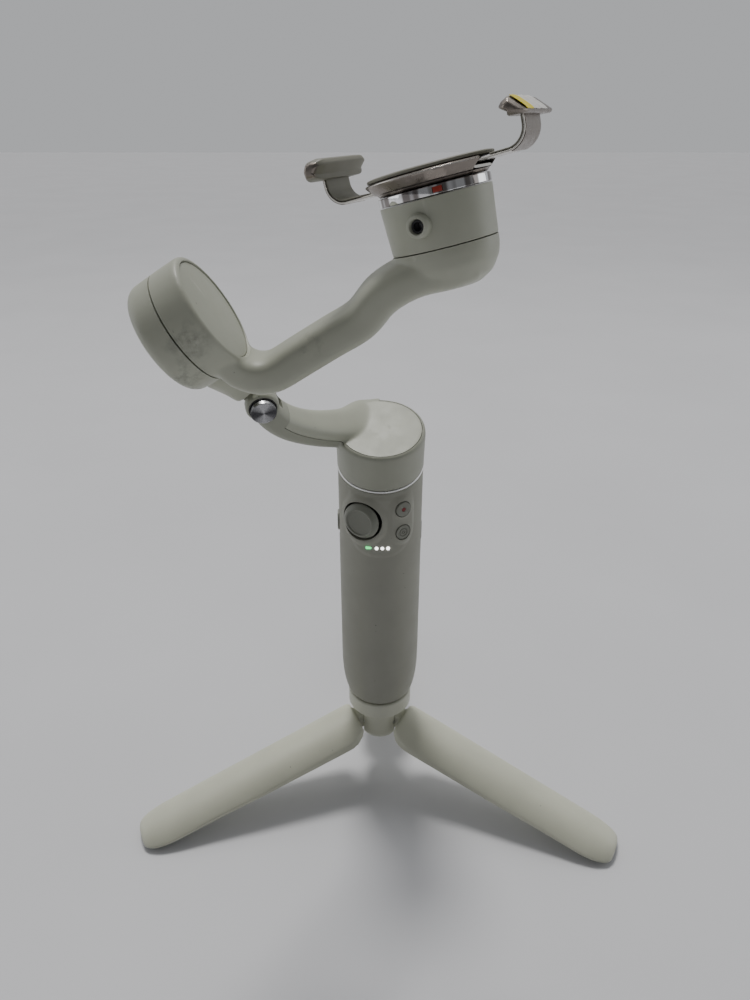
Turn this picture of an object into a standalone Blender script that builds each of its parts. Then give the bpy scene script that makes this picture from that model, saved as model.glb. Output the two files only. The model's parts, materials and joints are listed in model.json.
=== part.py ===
"""Folding three-axis camera gimbal for a phone, standing on a small tripod.

Metres, +Z up. The origin lies on the table under the middle of the object. Every moving body has an
empty on its joint, and its sub-parts are built in that empty's own frame and parented to it.
"""

import math

import bmesh
import bpy
from mathutils import Matrix, Vector

MM = 0.001
GAP = 0.3  # space kept between touching pieces, in millimetres like every length below
ROUND = 28  # sides of a drum
SMALL = 14  # sides of a pin or a button

# Where the handle's axis meets the table, so that the origin is the middle of the footprint.
STAND_X = 1.9
STAND_Y = -24.8

# Tripod
LEG_PIVOT_Z = 37.0
LEG_PIVOT_R = 10.0
LEG_SLOPE = 16.0
LEG_LENGTH = 125.5
LEG_AZIMUTHS = {"left": -156.5, "right": -27.6, "rear": 88.1}
TRIPOD_R = 16.0
HUB_R = 12.2
LEG_BORE_R = 1.75
PIN_HALF = 5.9
PAD_ENDS = (109.5, 122.5)
LEG_SPLIT = 58.0  # half the angle that one leg takes of the folded tripod
TONGUE_HALF = 4.0
HUB_LOW_Z = 26.0
HUB_TOP_Z = 46.0
BAND_TOP_Z = 54.4
STUD_R = 3.1
STUD_LOW_Z = 44.0
STUD_HIGH_Z = 61.0

# Handle
HANDLE_LOW_Z = 54.9
HANDLE_HIGH_Z = 186.0
HANDLE_R = 19.3
HEAD_TILT = 20.0
WALL = 2.0
ROD_LOW_Z = 63.0
ROD_R = (6.9, 5.7, 4.5)
JOYSTICK_AZ = -26.5
JOYSTICK_Z = 164.3
JOYSTICK_R = 8.5
JOYSTICK_PIVOT = 14.2
BUTTON_AZ = 30.0
RECORD_Z = 170.1
MODE_Z = 158.6
BUTTON_R = 3.2
SLIDER_Z = 155.5
LED_Z = 151.1
PORT_Z = 134.0

# Pan drum and arm, in the tilted pan frame
DRUM_R = 19.5
PAN_HIGH = 19.6

# Pan arm: where its middle line starts and leaves the drum, and how it arrives at the hinge
ARM_START = Vector((0.7, 10.0, 13.8))
ARM_LEAVES = Vector((-10.0, 10.6, 10.2))
ARM_ARRIVES = Vector((5.8, -4.6, -19.1))
ARM_ROOT_HALF_W = 9.6
ARM_HALF_T = 5.6

# Fold hinge
HINGE = Vector((-46.75, -33.0, 227.6))
HINGE_AZIMUTH = -76.0
KNUCKLE_R = 6.6
HINGE_HALF_W = 7.0
TONGUE_HALF_W = 2.6
PIN_R = 2.0
PIN_HEAD_R = 4.95

# Tilt drum: the middle of its gap, and the slope of its axis in the XZ plane
TILT_CENTRE = Vector((-65.1, -57.0, 261.8))
TILT_SLOPE = 31.55
TILT_R = 20.0
TILT_BASE_H = 11.0
TILT_CAP_H = 11.2
FACE_R = 17.6
ARM_OFFSET = 28.0
ELBOW_R = 11.0

# Roll drum: the middle of the mount plane, and the lean of its axis
MOUNT_CENTRE = Vector((15.8, -53.5, 305.6))
ROLL_LEAN = -13.9
ROLL_TIP = -7.0
ROLL_GAP = -18.2
ROLL_TOP = -3.3
ROLL_LOW_R = 17.2
ROLL_HIGH_R = 18.0

# Phone clamp
CLAMP_TURN = -25.0
CLAMP_R = 21.0
STRIP_HALF_W = 8.2
STRIP_T = 1.3
JAW_X = 31.0
JAW_HALF_L = 17.0
NECK_BEND = 5.8
NECK_X = 27.4
NECK_TOPS = {"left": 10.1, "right": 11.25}
JAW_LOW = 10.4

# Sections of the two jaws, as (out from the phone, up)
JAW_OUTLINES = {
    "left": ((-1.6, 4.7), (-2.4, 3.6), (0.0, 1.3), (0.0, 0.0), (4.6, 0.0), (4.9, 1.6), (4.4, 4.0),
             (3.0, 5.2), (0.0, 5.4)),
    "right": ((-1.2, 4.9), (-2.4, 3.8), (0.0, 2.2), (0.0, 1.4), (4.6, 1.0), (5.2, 1.4), (5.0, 2.1),
              (0.8, 5.8)),
}


# ---------------------------------------------------------------- shared tools

def clear_scene():
    for item in list(bpy.data.objects):
        bpy.data.objects.remove(item, do_unlink=True)


def make_material(name, colour, roughness, metallic=0.0):
    material = bpy.data.materials.new(name)
    material.use_nodes = True
    shader = material.node_tree.nodes["Principled BSDF"]
    shader.inputs["Base Color"].default_value = (*colour, 1.0)
    shader.inputs["Roughness"].default_value = roughness
    shader.inputs["Metallic"].default_value = metallic
    return material


def millimetres(points):
    return [Vector(p) * MM for p in points]


def shift(x, y, z):
    return Matrix.Translation(Vector((x, y, z)) * MM)


def turn(degrees, axis):
    return Matrix.Rotation(math.radians(degrees), 4, axis)


def add_empty(name, matrix, parent=None):
    empty = bpy.data.objects.new(name, None)
    empty.empty_display_size = 0.01
    bpy.context.collection.objects.link(empty)
    if parent:
        empty.parent = parent
    empty.matrix_world = matrix
    bpy.context.view_layer.update()
    return empty


def add_solid(name, points, faces, body, material, place=Matrix(), smooth=True):
    """One closed mesh object under its body's empty. Points are in millimetres in the body's frame."""
    mesh = bpy.data.meshes.new(name)
    mesh.from_pydata([tuple(p) for p in millimetres(points)], [], faces)
    work = bmesh.new()
    work.from_mesh(mesh)
    bmesh.ops.recalc_face_normals(work, faces=work.faces[:])
    work.to_mesh(mesh)
    work.free()
    if smooth:
        mesh.shade_smooth()
        mesh.set_sharp_from_angle(angle=math.radians(35.0))
    item = bpy.data.objects.new(name, mesh)
    bpy.context.collection.objects.link(item)
    item.parent = body
    item.matrix_local = place
    if material:
        mesh.materials.append(material)
    return item


def turned(name, profile, body, material, place=Matrix(), sides=ROUND):
    """A closed (radius, height) outline turned about the frame's Z axis."""
    points = []
    rows = []
    for radius, height in profile:
        if radius == 0.0:
            rows.append([len(points)] * sides)
            points.append((0.0, 0.0, height))
            continue
        rows.append(list(range(len(points), len(points) + sides)))
        for k in range(sides):
            a = math.tau * k / sides
            points.append((radius * math.cos(a), radius * math.sin(a), height))
    faces = []
    for here, there in zip(rows, rows[1:] + rows[:1]):
        for k in range(sides):
            n = (k + 1) % sides
            corners = list(dict.fromkeys((here[k], here[n], there[n], there[k])))
            if len(corners) > 2:
                faces.append(corners)
    return add_solid(name, points, faces, body, material, place)


def disc_profile(radius, low, high):
    return [(0.0, low), (radius, low), (radius, high), (0.0, high)]


def ring_profile(inner, outer, low, high):
    return [(outer, low), (outer, high), (inner, high), (inner, low)]


def skinned(name, rings, body, material, closed=False, place=Matrix()):
    """A skin over rings of equally many points; closed joins the last ring to the first."""
    count = len(rings[0])
    points = [p for ring in rings for p in ring]
    faces = []
    joins = len(rings) if closed else len(rings) - 1
    for r in range(joins):
        base = r * count
        over = ((r + 1) % len(rings)) * count
        for k in range(count):
            n = (k + 1) % count
            faces.append((base + k, base + n, over + n, over + k))
    if not closed:
        faces.append(tuple(reversed(range(count))))
        faces.append(tuple(range((len(rings) - 1) * count, len(rings) * count)))
    return add_solid(name, points, faces, body, material, place)


def rounded_ring(centre, across, up, half_across, half_up, power=3.2, count=20):
    """A ring of points on a superellipse, between an ellipse at power 2 and a rectangle."""
    ring = []
    for k in range(count):
        a = math.tau * (k + 0.5) / count
        c = math.cos(a)
        s = math.sin(a)
        u = math.copysign(abs(c) ** (2.0 / power), c) * half_across
        v = math.copysign(abs(s) ** (2.0 / power), s) * half_up
        ring.append(Vector(centre) + Vector(across) * u + Vector(up) * v)
    return ring


def extruded(name, outline, low, high, body, material, place=Matrix()):
    """An (x, y) outline pulled from low to high along Z."""
    count = len(outline)
    points = [(x, y, low) for x, y in outline] + [(x, y, high) for x, y in outline]
    faces = [tuple(reversed(range(count))), tuple(range(count, 2 * count))]
    for k in range(count):
        n = (k + 1) % count
        faces.append((k, n, count + n, count + k))
    return add_solid(name, points, faces, body, material, place)


def block(name, low, high, body, material, place=Matrix(), bevel=0.0):
    """A box between two corners, with its edges rounded by a Bevel modifier where asked."""
    outline = [(low[0], low[1]), (high[0], low[1]), (high[0], high[1]), (low[0], high[1])]
    item = extruded(name, outline, low[2], high[2], body, material, place)
    if bevel:
        add_bevel(item, bevel)
    return item


def add_bevel(item, width, segments=2):
    bevel = item.modifiers.new("edges", "BEVEL")
    bevel.width = width * MM
    bevel.segments = segments
    bevel.limit_method = "ANGLE"
    bevel.angle_limit = math.radians(40.0)


def combine(item, tool, operation):
    """Cut a tool from an item or join it, and keep the tool as a hidden guide."""
    tool.hide_render = True
    tool.display_type = "WIRE"
    step = item.modifiers.new(operation.lower(), "BOOLEAN")
    step.operation = operation
    step.object = tool
    step.solver = "EXACT"


def cut(item, tool):
    combine(item, tool, "DIFFERENCE")


def join(item, tool):
    combine(item, tool, "UNION")


def bezier(points, t):
    a, b, c, d = (Vector(p) for p in points)
    s = 1.0 - t
    return a * s**3 + b * (3 * s * s * t) + c * (3 * s * t * t) + d * t**3


def smooth_step(low, high, value):
    t = min(max((value - low) / (high - low), 0.0), 1.0)
    return t * t * (3.0 - 2.0 * t)


# ---------------------------------------------------------------- frames

def world_frames():
    """Every body's frame, with its joint's axis along the frame's own Z, X or Y as named here."""
    stand = shift(STAND_X, STAND_Y, 0.0)
    pan = stand @ shift(0.0, 0.0, HANDLE_HIGH_Z) @ turn(HEAD_TILT, "X")
    hinge_axes = turn(HEAD_TILT, "X") @ turn(HINGE_AZIMUTH + 90.0, "Z") @ turn(90.0, "X")
    frames = {"stand": stand, "pan": pan}
    frames["fold"] = stand @ Matrix.Translation(HINGE * MM) @ hinge_axes
    frames["tilt"] = stand @ Matrix.Translation(TILT_CENTRE * MM) @ turn(90.0 - TILT_SLOPE, "Y")
    lean = turn(ROLL_LEAN, "Y") @ turn(ROLL_TIP, "X")
    frames["roll"] = stand @ Matrix.Translation(MOUNT_CENTRE * MM) @ lean
    frames["clamp"] = frames["roll"] @ turn(CLAMP_TURN, "Z")
    for side, azimuth in LEG_AZIMUTHS.items():
        pivot = shift(LEG_PIVOT_R, 0.0, LEG_PIVOT_Z)
        frames["leg_" + side] = stand @ turn(azimuth, "Z") @ pivot @ turn(LEG_SLOPE, "Y")
    return frames


def handle_frame(azimuth, height):
    """A frame on the handle's axis: Z points out through the wall, Y points up the handle."""
    return shift(0.0, 0.0, height) @ turn(azimuth, "Z") @ turn(90.0, "X")


# ---------------------------------------------------------------- tripod

def make_tripod(frames, paint):
    hub_body = add_empty("tripod_body", frames["stand"])
    well_z = STUD_LOW_Z - GAP
    profile = [(0.0, HUB_LOW_Z), (7.5, HUB_LOW_Z), (10.6, HUB_LOW_Z + 1.2), (HUB_R, HUB_LOW_Z + 5.0)]
    profile += [(HUB_R, 41.5), (14.2, 44.0), (14.2, HUB_TOP_Z)]
    profile += [(3.5, HUB_TOP_Z), (3.5, well_z), (0.0, well_z)]
    hub = turned("tripod_hub", profile, hub_body, paint["leg"])
    low = HUB_TOP_Z + GAP
    outer = TRIPOD_R + 0.3
    band = [(3.5, low), (outer - 1.0, low), (outer, low + 1.2), (outer, BAND_TOP_Z - 1.0)]
    band += [(outer - 1.0, BAND_TOP_Z), (3.5, BAND_TOP_Z)]
    turned("tripod_collar_band", band, hub_body, paint["pale"])
    stud = disc_profile(STUD_R, STUD_LOW_Z, STUD_HIGH_Z)
    turned("tripod_stud", stud, hub_body, paint["steel"], sides=SMALL)
    for side in LEG_AZIMUTHS:
        make_leg(side, frames, hub_body, paint)
        cut_leg_slot(side, frames, hub_body, hub, paint)
    return hub_body


def leg_ring(x, outer_r, half_w):
    """The section of a leg at x: the arc of the folded tripod's skin, over a flat inner face."""
    floor = leg_floor(x)
    half = min(math.radians(LEG_SPLIT), math.asin(half_w / outer_r))
    ring = []
    for k in range(11):
        a = half - 2.0 * half * k / 10
        ring.append((x, outer_r * math.sin(a), outer_r * math.cos(a) - LEG_PIVOT_R))
    side_y = (floor + LEG_PIVOT_R) * math.tan(math.radians(LEG_SPLIT))
    edge = min(side_y, ring[0][1] - 0.6)
    shoulder = min(floor, ring[0][2] - 0.6)
    return ring + [(x, -edge, shoulder), (x, edge, shoulder)]


def leg_floor(x):
    """Height of the leg's inner face, which rises towards the tip."""
    return -6.4 + 4.6 * x / LEG_LENGTH


def make_leg(side, frames, hub_body, paint):
    """A leg with its tongue; inside its root a hollow clears the hub while the leg folds."""
    body = add_empty(f"leg_{side}_body", frames["leg_" + side], hub_body)
    widest = TRIPOD_R * math.sin(math.radians(LEG_SPLIT))
    stations = [(3.4, 1.2, 0.76), (4.8, 0.4, 0.86), (9.0, 0.0, 0.95), (15.0, 0.0, 1.0), (62.0, 0.0, 1.0)]
    stations += [(94.0, 0.3, 0.96)]
    stations += [(110.0, 0.9, 0.88), (119.5, 1.8, 0.76), (124.1, 3.0, 0.62), (LEG_LENGTH, 4.2, 0.48)]
    rings = [leg_ring(x, TRIPOD_R - drop, widest * width) for x, drop, width in stations]
    leg = skinned(f"leg_{side}", rings, body, paint["leg"])
    hub_line = shift(0.0, 0.0, -LEG_PIVOT_R) @ turn(90.0, "Y")
    relief_end = LEG_PIVOT_Z - HUB_LOW_Z + 0.8
    relief = disc_profile(HUB_R + 0.6, -5.0, relief_end)
    cut(leg, turned(f"guide_relief_{side}", relief, body, None, hub_line))
    tongue = block(f"guide_tongue_{side}", (-4.2, -TONGUE_HALF, -4.2), (15.5, TONGUE_HALF, 4.2), body, None)
    join(leg, tongue)
    across = turn(90.0, "X")
    bore = turned(f"guide_leg_bore_{side}", disc_profile(LEG_BORE_R, -8.0, 8.0), body, None, across, SMALL)
    cut(leg, bore)
    near, far = PAD_ENDS
    outline = [(near, table_height(near)), (far, table_height(far))]
    outline += [(far, leg_floor(far) - GAP), (near, leg_floor(near) - GAP)]
    extruded(f"foot_pad_{side}", outline, -5.2, 5.2, body, paint["rubber"], across)


def table_height(x):
    """Height of the table in a leg's frame."""
    slope = math.radians(LEG_SLOPE)
    return (math.sin(slope) * x - LEG_PIVOT_Z) / math.cos(slope)


def cut_leg_slot(side, frames, hub_body, hub, paint):
    """The slot in the hub for a leg's tongue, with the pin that the leg turns on."""
    place = hub_body.matrix_world.inverted() @ frames["leg_" + side]
    half = TONGUE_HALF + 0.4
    slot = block(f"guide_slot_{side}", (-6.4, -half, -12.0), (12.0, half, 6.2), hub_body, None,
                 place @ turn(-LEG_SLOPE, "Y"))
    cut(hub, slot)
    across = place @ turn(90.0, "X")
    bore = disc_profile(LEG_BORE_R, -PIN_HALF - GAP, PIN_HALF + GAP)
    cut(hub, turned(f"guide_hub_bore_{side}", bore, hub_body, None, across, SMALL))
    rod = disc_profile(LEG_BORE_R - GAP, -PIN_HALF, PIN_HALF)
    turned(f"leg_pin_{side}", rod, hub_body, paint["steel"], across, 12)


# ---------------------------------------------------------------- handle

def handle_ring(height, radius, count=ROUND):
    """A level ring low on the handle, which leans to the head's tilt near the top."""
    lean = math.radians(HEAD_TILT) * smooth_step(118.0, HANDLE_HIGH_Z, height)
    ring = []
    for k in range(count):
        a = math.tau * k / count
        y = radius * math.sin(a)
        ring.append((radius * math.cos(a), y * math.cos(lean), height + y * math.sin(lean)))
    return ring


def handle_radius(height):
    """The handle swells from its foot to a long, nearly straight grip."""
    t = min((height - HANDLE_LOW_Z) / 24.0, 1.0)
    return 14.6 + (HANDLE_R - 14.6) * math.sqrt(max(0.0, 1.0 - (1.0 - t) ** 2))


def make_handle(frames, tripod, paint):
    body = add_empty("handle_body", frames["stand"], tripod)
    top = HANDLE_HIGH_Z - 1.7
    heights = (HANDLE_LOW_Z, 56.5, 60.0, 66.0, 78.0, 118.0, 135.0, 152.0, 170.0, top)
    outer = [handle_ring(h, handle_radius(h)) for h in heights]
    inner = [handle_ring(h, handle_radius(h) - WALL) for h in reversed(heights)]
    shell = skinned("handle_shell", outer + inner, body, paint["grip"], closed=True)
    cut_controls(shell, body)
    cap = [(6.4, 54.9), (12.2, 54.9), (12.2, 57.0), (6.4, 57.0)]
    turned("handle_base_cap", cap, body, paint["grip"], sides=ROUND)
    insert = ring_profile(STUD_R + 0.4, 6.0, 54.9, 62.0)
    turned("thread_insert", insert, body, paint["steel"], sides=SMALL)
    ring = ring_profile(16.4, DRUM_R + 0.1, -1.35, -0.3)
    over = body.matrix_world.inverted() @ frames["pan"]
    turned("handle_top_ring", ring, body, paint["chrome"], over, 36)
    block("battery", (-10.5, 8.0, 70.0), (10.5, 12.4, 132.0), body, paint["cell"], bevel=0.8)
    block("main_board", (-12.5, -9.0, 72.0), (12.5, -7.5, 153.0), body, paint["board"])
    turned("rod_guide", ring_profile(ROD_R[0] + 0.25, 15.4, 174.6, 177.0), body, paint["dark"])
    make_controls(body, paint)
    return body


def cut_controls(shell, body):
    """Holes in the handle's wall for the joystick, the buttons, the lamps, the slider and the trigger."""
    sites = [("joystick", JOYSTICK_AZ, JOYSTICK_Z, JOYSTICK_R + 1.3)]
    sites += [("record", BUTTON_AZ, RECORD_Z, BUTTON_R + 0.35)]
    sites += [("mode", BUTTON_AZ, MODE_Z, BUTTON_R + 0.35)]
    for name, azimuth, height, radius in sites:
        place = handle_frame(azimuth, height)
        cut(shell, turned("guide_hole_" + name, disc_profile(radius, 12.0, 30.0), body, None, place, 20))
    windows = [("slider", -90.0, SLIDER_Z, 3.4, 7.6), ("side", 90.0, LED_Z, 3.4, 5.4)]
    windows += [("trigger", 180.0, 160.0, 5.4, 11.4), ("port", 90.0, PORT_Z, 2.3, 5.1)]
    windows += [("lamps", 0.0, LED_Z, 6.6, 1.5)]
    for name, azimuth, height, half_w, half_h in windows:
        low = (-half_w, -half_h, 12.0)
        high = (half_w, half_h, 30.0)
        cut(shell, block("guide_window_" + name, low, high, body, None, handle_frame(azimuth, height)))


def make_controls(body, paint):
    pivot = handle_frame(JOYSTICK_AZ, JOYSTICK_Z) @ shift(0.0, 0.0, JOYSTICK_PIVOT)
    stick = add_empty("joystick_ring_body", body.matrix_world @ pivot, body)
    turned("joystick_gimbal_ring", ring_profile(4.6, 6.4, -1.0, 1.0), stick, paint["dark"], sides=20)
    cap_body = add_empty("joystick_cap_body", stick.matrix_world, stick)
    cap = [(0.0, -1.0), (3.4, -1.0), (3.4, 4.0), (JOYSTICK_R, 4.3), (JOYSTICK_R, 5.3)]
    cap += [(6.7, 7.2), (5.9, 7.2), (5.1, 6.7), (0.0, 6.6)]
    turned("joystick_cap", cap, cap_body, paint["grip"], sides=24)
    for name, height in (("record", RECORD_Z), ("mode", MODE_Z)):
        key = add_empty(name + "_button_body", body.matrix_world @ handle_frame(BUTTON_AZ, height), body)
        profile = [(0.0, 16.2), (BUTTON_R, 16.2), (BUTTON_R, 19.6), (BUTTON_R - 0.7, 20.1), (0.0, 20.1)]
        turned(name + "_button", profile, key, paint["grip"], sides=20)
    slider = add_empty("zoom_slider_body", body.matrix_world @ handle_frame(-90.0, SLIDER_Z), body)
    knob = block("zoom_slider", (-2.9, -4.6, 16.2), (2.9, 4.6, 20.4), slider, paint["grip"])
    add_bevel(knob, 0.9)
    side = add_empty("side_button_body", body.matrix_world @ handle_frame(90.0, LED_Z), body)
    add_bevel(block("side_button", (-3.0, -5.0, 16.2), (3.0, 5.0, 19.5), side, paint["grip"]), 0.7)
    port_place = handle_frame(90.0, PORT_Z)
    port = block("usb_port", (-2.0, -4.8, 12.6), (2.0, 4.8, 18.9), body, paint["steel"], port_place)
    cut(port, block("guide_port_mouth", (-1.3, -4.1, 14.0), (1.3, 4.1, 22.0), body, None, port_place))
    front = handle_frame(0.0, LED_Z)
    glass = block("lamp_window", (-6.2, -1.1, 16.4), (6.2, 1.1, 18.6), body, paint["lamp"], front)
    add_bevel(glass, 0.4)
    make_trigger(body, paint)


def make_trigger(body, paint):
    """The trigger hangs from a cross pin just under its top edge, inside the rear wall."""
    pivot = handle_frame(180.0, 170.0) @ shift(0.0, 0.0, 16.4)
    lever = add_empty("trigger_body", body.matrix_world @ pivot, body)
    outline = [(-1.6, 0.6), (1.4, 0.9), (3.6, -1.6), (4.6, -6.0), (5.6, -12.0), (6.6, -17.4), (5.6, -20.4)]
    outline += [(2.4, -20.8), (0.6, -19.0), (0.0, -10.0), (-2.0, -2.0)]
    trigger = extruded("trigger", outline, -4.9, 4.9, lever, paint["grip"], turn(-90.0, "Y"))
    across = turn(90.0, "Y")
    cut(trigger, turned("guide_trigger_bore", disc_profile(1.05, -8.0, 8.0), lever, None, across, 12))
    turned("trigger_pin", disc_profile(0.8, -5.2, 5.2), body, paint["steel"], pivot @ across, 12)


# ---------------------------------------------------------------- telescopic rod and pan head

def make_rod(frames, handle, paint):
    """Three tubes that slide out of each other; the innermost carries the head."""
    parent = handle
    names = ("rod_outer_tube", "rod_middle_tube", "rod_inner_tube")
    tops = (178.2, 179.2, 180.4)
    for name, radius, top in zip(names, ROD_R, tops):
        parent = add_empty(name + "_body", frames["stand"], parent)
        turned(name, ring_profile(radius - 1.0, radius, ROD_LOW_Z, top), parent, paint["steel"], sides=20)
    over = parent.matrix_world.inverted() @ frames["pan"]
    head = turned("rod_head", disc_profile(15.7, -1.7, -0.4), parent, paint["dark"], over)
    neck = turned("guide_rod_neck", disc_profile(ROD_R[2] - 1.3, 166.0, 184.2), parent, None, sides=16)
    join(head, neck)
    return parent


def motor(prefix, drum_r, low, high, foot, stator_body, rotor_body, place_s, place_r, paint):
    """A stator on a foot and a bearing on one body, and a magnet ring with its shaft on the other.

    The motor's open end faces low. The frame's Z is the joint's axis on both bodies.
    """
    roof = high - 1.8
    ring_in = drum_r - 3.2
    stator = [(8.2, foot), (8.2, low + 1.4), (ring_in - 0.6, low + 1.4), (ring_in - 0.6, roof - 0.6)]
    stator += [(6.2, roof - 0.6), (6.2, foot)]
    turned(prefix + "_stator", stator, stator_body, paint["copper"], place_s, 20)
    turned(prefix + "_bearing", ring_profile(3.0, 5.8, low + 1.4, roof - 1.2), stator_body,
           paint["steel"], place_s, 16)
    rotor = [(0.0, low + 0.4), (2.6, low + 0.4), (2.6, roof), (ring_in, roof), (ring_in, low + 1.0)]
    rotor += [(drum_r, low + 1.0), (drum_r, high), (0.0, high)]
    turned(prefix + "_rotor", rotor, rotor_body, paint["magnet"], place_r, 24)


def make_pan(frames, rod, paint):
    body = add_empty("pan_body", frames["pan"], rod)
    drum = [(0.0, GAP), (DRUM_R, GAP), (DRUM_R, PAN_HIGH - 2.0), (DRUM_R - 0.7, PAN_HIGH - 0.7)]
    drum += [(DRUM_R - 2.0, PAN_HIGH - 0.2), (0.0, PAN_HIGH - 0.2)]
    housing = turned("pan_arm_housing", drum, body, paint["shell"])
    arm = skinned("guide_pan_arm", pan_arm_rings(frames), body, None)
    join(housing, arm)
    knuckle_place = body.matrix_world.inverted() @ frames["fold"]
    barrel = turned("guide_knuckle", disc_profile(KNUCKLE_R, -HINGE_HALF_W, HINGE_HALF_W), body, None,
                    knuckle_place, 20)
    join(housing, barrel)
    half = TONGUE_HALF_W + 0.35
    hollows = [("slot", disc_profile(KNUCKLE_R + 2.4, -half, half), 20)]
    hollows += [("bore", disc_profile(PIN_R + GAP, -12.0, 12.0), SMALL)]
    hollows += [("seat", disc_profile(PIN_HEAD_R + 0.5, HINGE_HALF_W - 1.3, 12.0), 20)]
    for name, profile, sides in hollows:
        cut(housing, turned("guide_knuckle_" + name, profile, body, None, knuckle_place, sides))
    pocket = turned("guide_pan_pocket", disc_profile(DRUM_R - 2.1, -2.0, 12.4), body, None)
    cut(housing, pocket)
    cover_seat = turned("guide_cover_seat", disc_profile(DRUM_R - 2.05, PAN_HIGH - 1.4, 30.0), body, None)
    cut(housing, cover_seat)
    cover = [(0.0, PAN_HIGH - 1.1), (DRUM_R - 2.4, PAN_HIGH - 1.1), (DRUM_R - 2.4, PAN_HIGH - 0.3)]
    cover += [(DRUM_R - 3.4, PAN_HIGH + 0.1), (0.0, PAN_HIGH + 0.3)]
    turned("pan_top_cover", cover, body, paint["shell"])
    level = rod.matrix_world.inverted() @ frames["pan"]
    motor("pan", 16.8, 0.2, 12.0, GAP - 0.4, rod, body, level, Matrix(), paint)
    pin = [(0.0, -HINGE_HALF_W), (PIN_R, -HINGE_HALF_W), (PIN_R, HINGE_HALF_W - 1.0)]
    pin += [(PIN_HEAD_R, HINGE_HALF_W - 1.0), (PIN_HEAD_R, HINGE_HALF_W + 2.2)]
    pin += [(PIN_HEAD_R - 0.4, HINGE_HALF_W + 2.6), (0.0, HINGE_HALF_W + 2.6)]
    turned("fold_pin", pin, body, paint["steel"], knuckle_place, 20)
    return body


def pan_arm_rings(frames):
    """Rings from inside the drum, off its rear side, to the hinge, where the arm is as wide as the hinge."""
    to_pan = frames["pan"].inverted() @ frames["fold"]
    end = to_pan.translation / MM
    controls = (ARM_START, ARM_LEAVES, end + ARM_ARRIVES, end)
    end_across = to_pan.to_3x3() @ Vector((0.0, 0.0, 1.0))
    start_across = (ARM_LEAVES - ARM_START).cross(Vector((0.0, 0.0, 1.0))).normalized()
    if start_across.dot(end_across) < 0.0:
        start_across.negate()
    rings = []
    steps = 14
    for k in range(steps + 1):
        t = k / steps
        here = bezier(controls, t)
        along = (bezier(controls, t + 0.02) - here).normalized()
        across = start_across.lerp(end_across, smooth_step(0.3, 1.0, t))
        across = (across - along * across.dot(along)).normalized()
        half_w = ARM_ROOT_HALF_W + (HINGE_HALF_W - ARM_ROOT_HALF_W) * smooth_step(0.1, 0.7, t)
        rings.append(rounded_ring(here, across, along.cross(across), half_w, ARM_HALF_T, 3.6))
    return rings


# ---------------------------------------------------------------- fold link and tilt drum

def make_link(frames, pan, paint):
    body = add_empty("fold_body", frames["fold"], pan)
    over = body.matrix_world.inverted() @ frames["tilt"]
    low = -TILT_BASE_H
    drum = [(0.0, low), (TILT_R - 3.0, low), (TILT_R - 1.0, low + 1.2), (TILT_R, low + 3.6), (TILT_R, -GAP)]
    drum += [(0.0, -GAP)]
    base = turned("tilt_base_shell", drum, body, paint["shell"], over)
    link = skinned("guide_link", link_rings(frames), body, None)
    join(base, link)
    disc = disc_profile(KNUCKLE_R - 0.5, -TONGUE_HALF_W, TONGUE_HALF_W)
    tongue = turned("guide_link_tongue", disc, body, None, sides=20)
    join(base, tongue)
    angle = math.degrees(math.atan2(over.translation.y, over.translation.x))
    half = TONGUE_HALF_W - 0.1
    bridge = block("guide_link_bridge", (0.0, -4.6, -half), (12.0, 4.6, half), body, None, turn(angle, "Z"))
    join(base, bridge)
    bore = turned("guide_link_bore", disc_profile(PIN_R + GAP, -12.0, 12.0), body, None, sides=SMALL)
    cut(base, bore)
    cut(base, turned("guide_arm_sweep", disc_profile(36.5, -GAP, 24.0), body, None, over))
    pocket = turned("guide_tilt_pocket", disc_profile(TILT_R - 2.3, low + 1.8, 6.0), body, None, over)
    cut(base, pocket)
    return body


def link_rings(frames):
    """Rings from just outside the hinge's knuckle into the side of the tilt drum's base."""
    to_fold = frames["fold"].inverted() @ frames["tilt"]
    basis = to_fold.to_3x3()
    drum = to_fold.translation / MM - (basis @ Vector((0.0, 0.0, 1.0))) * (TILT_BASE_H / 2.0 + 0.2)
    axis = basis @ Vector((0.0, 0.0, 1.0))
    aim = (axis * drum.dot(axis) - drum).normalized()
    target = drum + aim * (TILT_R - 4.5)
    flat = Vector((target.x, target.y, 0.0)).normalized()
    begin = flat * (KNUCKLE_R + 2.0)
    drum_across = axis.cross(aim)
    if drum_across.z < 0.0:
        drum_across.negate()
    control = (begin, begin + flat * 5.0, target + aim * 6.0, target)
    rings = []
    steps = 8
    for k in range(steps + 1):
        t = k / steps
        here = bezier(control, t)
        along = (bezier(control, t + 0.02) - here).normalized()
        across = Vector((0.0, 0.0, 1.0)).lerp(drum_across, smooth_step(0.1, 1.0, t))
        across = (across - along * across.dot(along)).normalized()
        up = along.cross(across)
        half_w = HINGE_HALF_W + 3.0 * smooth_step(0.3, 1.0, t)
        half_t = 5.6 - 1.0 * smooth_step(0.3, 1.0, t)
        rings.append(rounded_ring(here, across, up, half_w, half_t, 3.6, 16))
    return rings


# ---------------------------------------------------------------- tilt arm and roll drum

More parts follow.
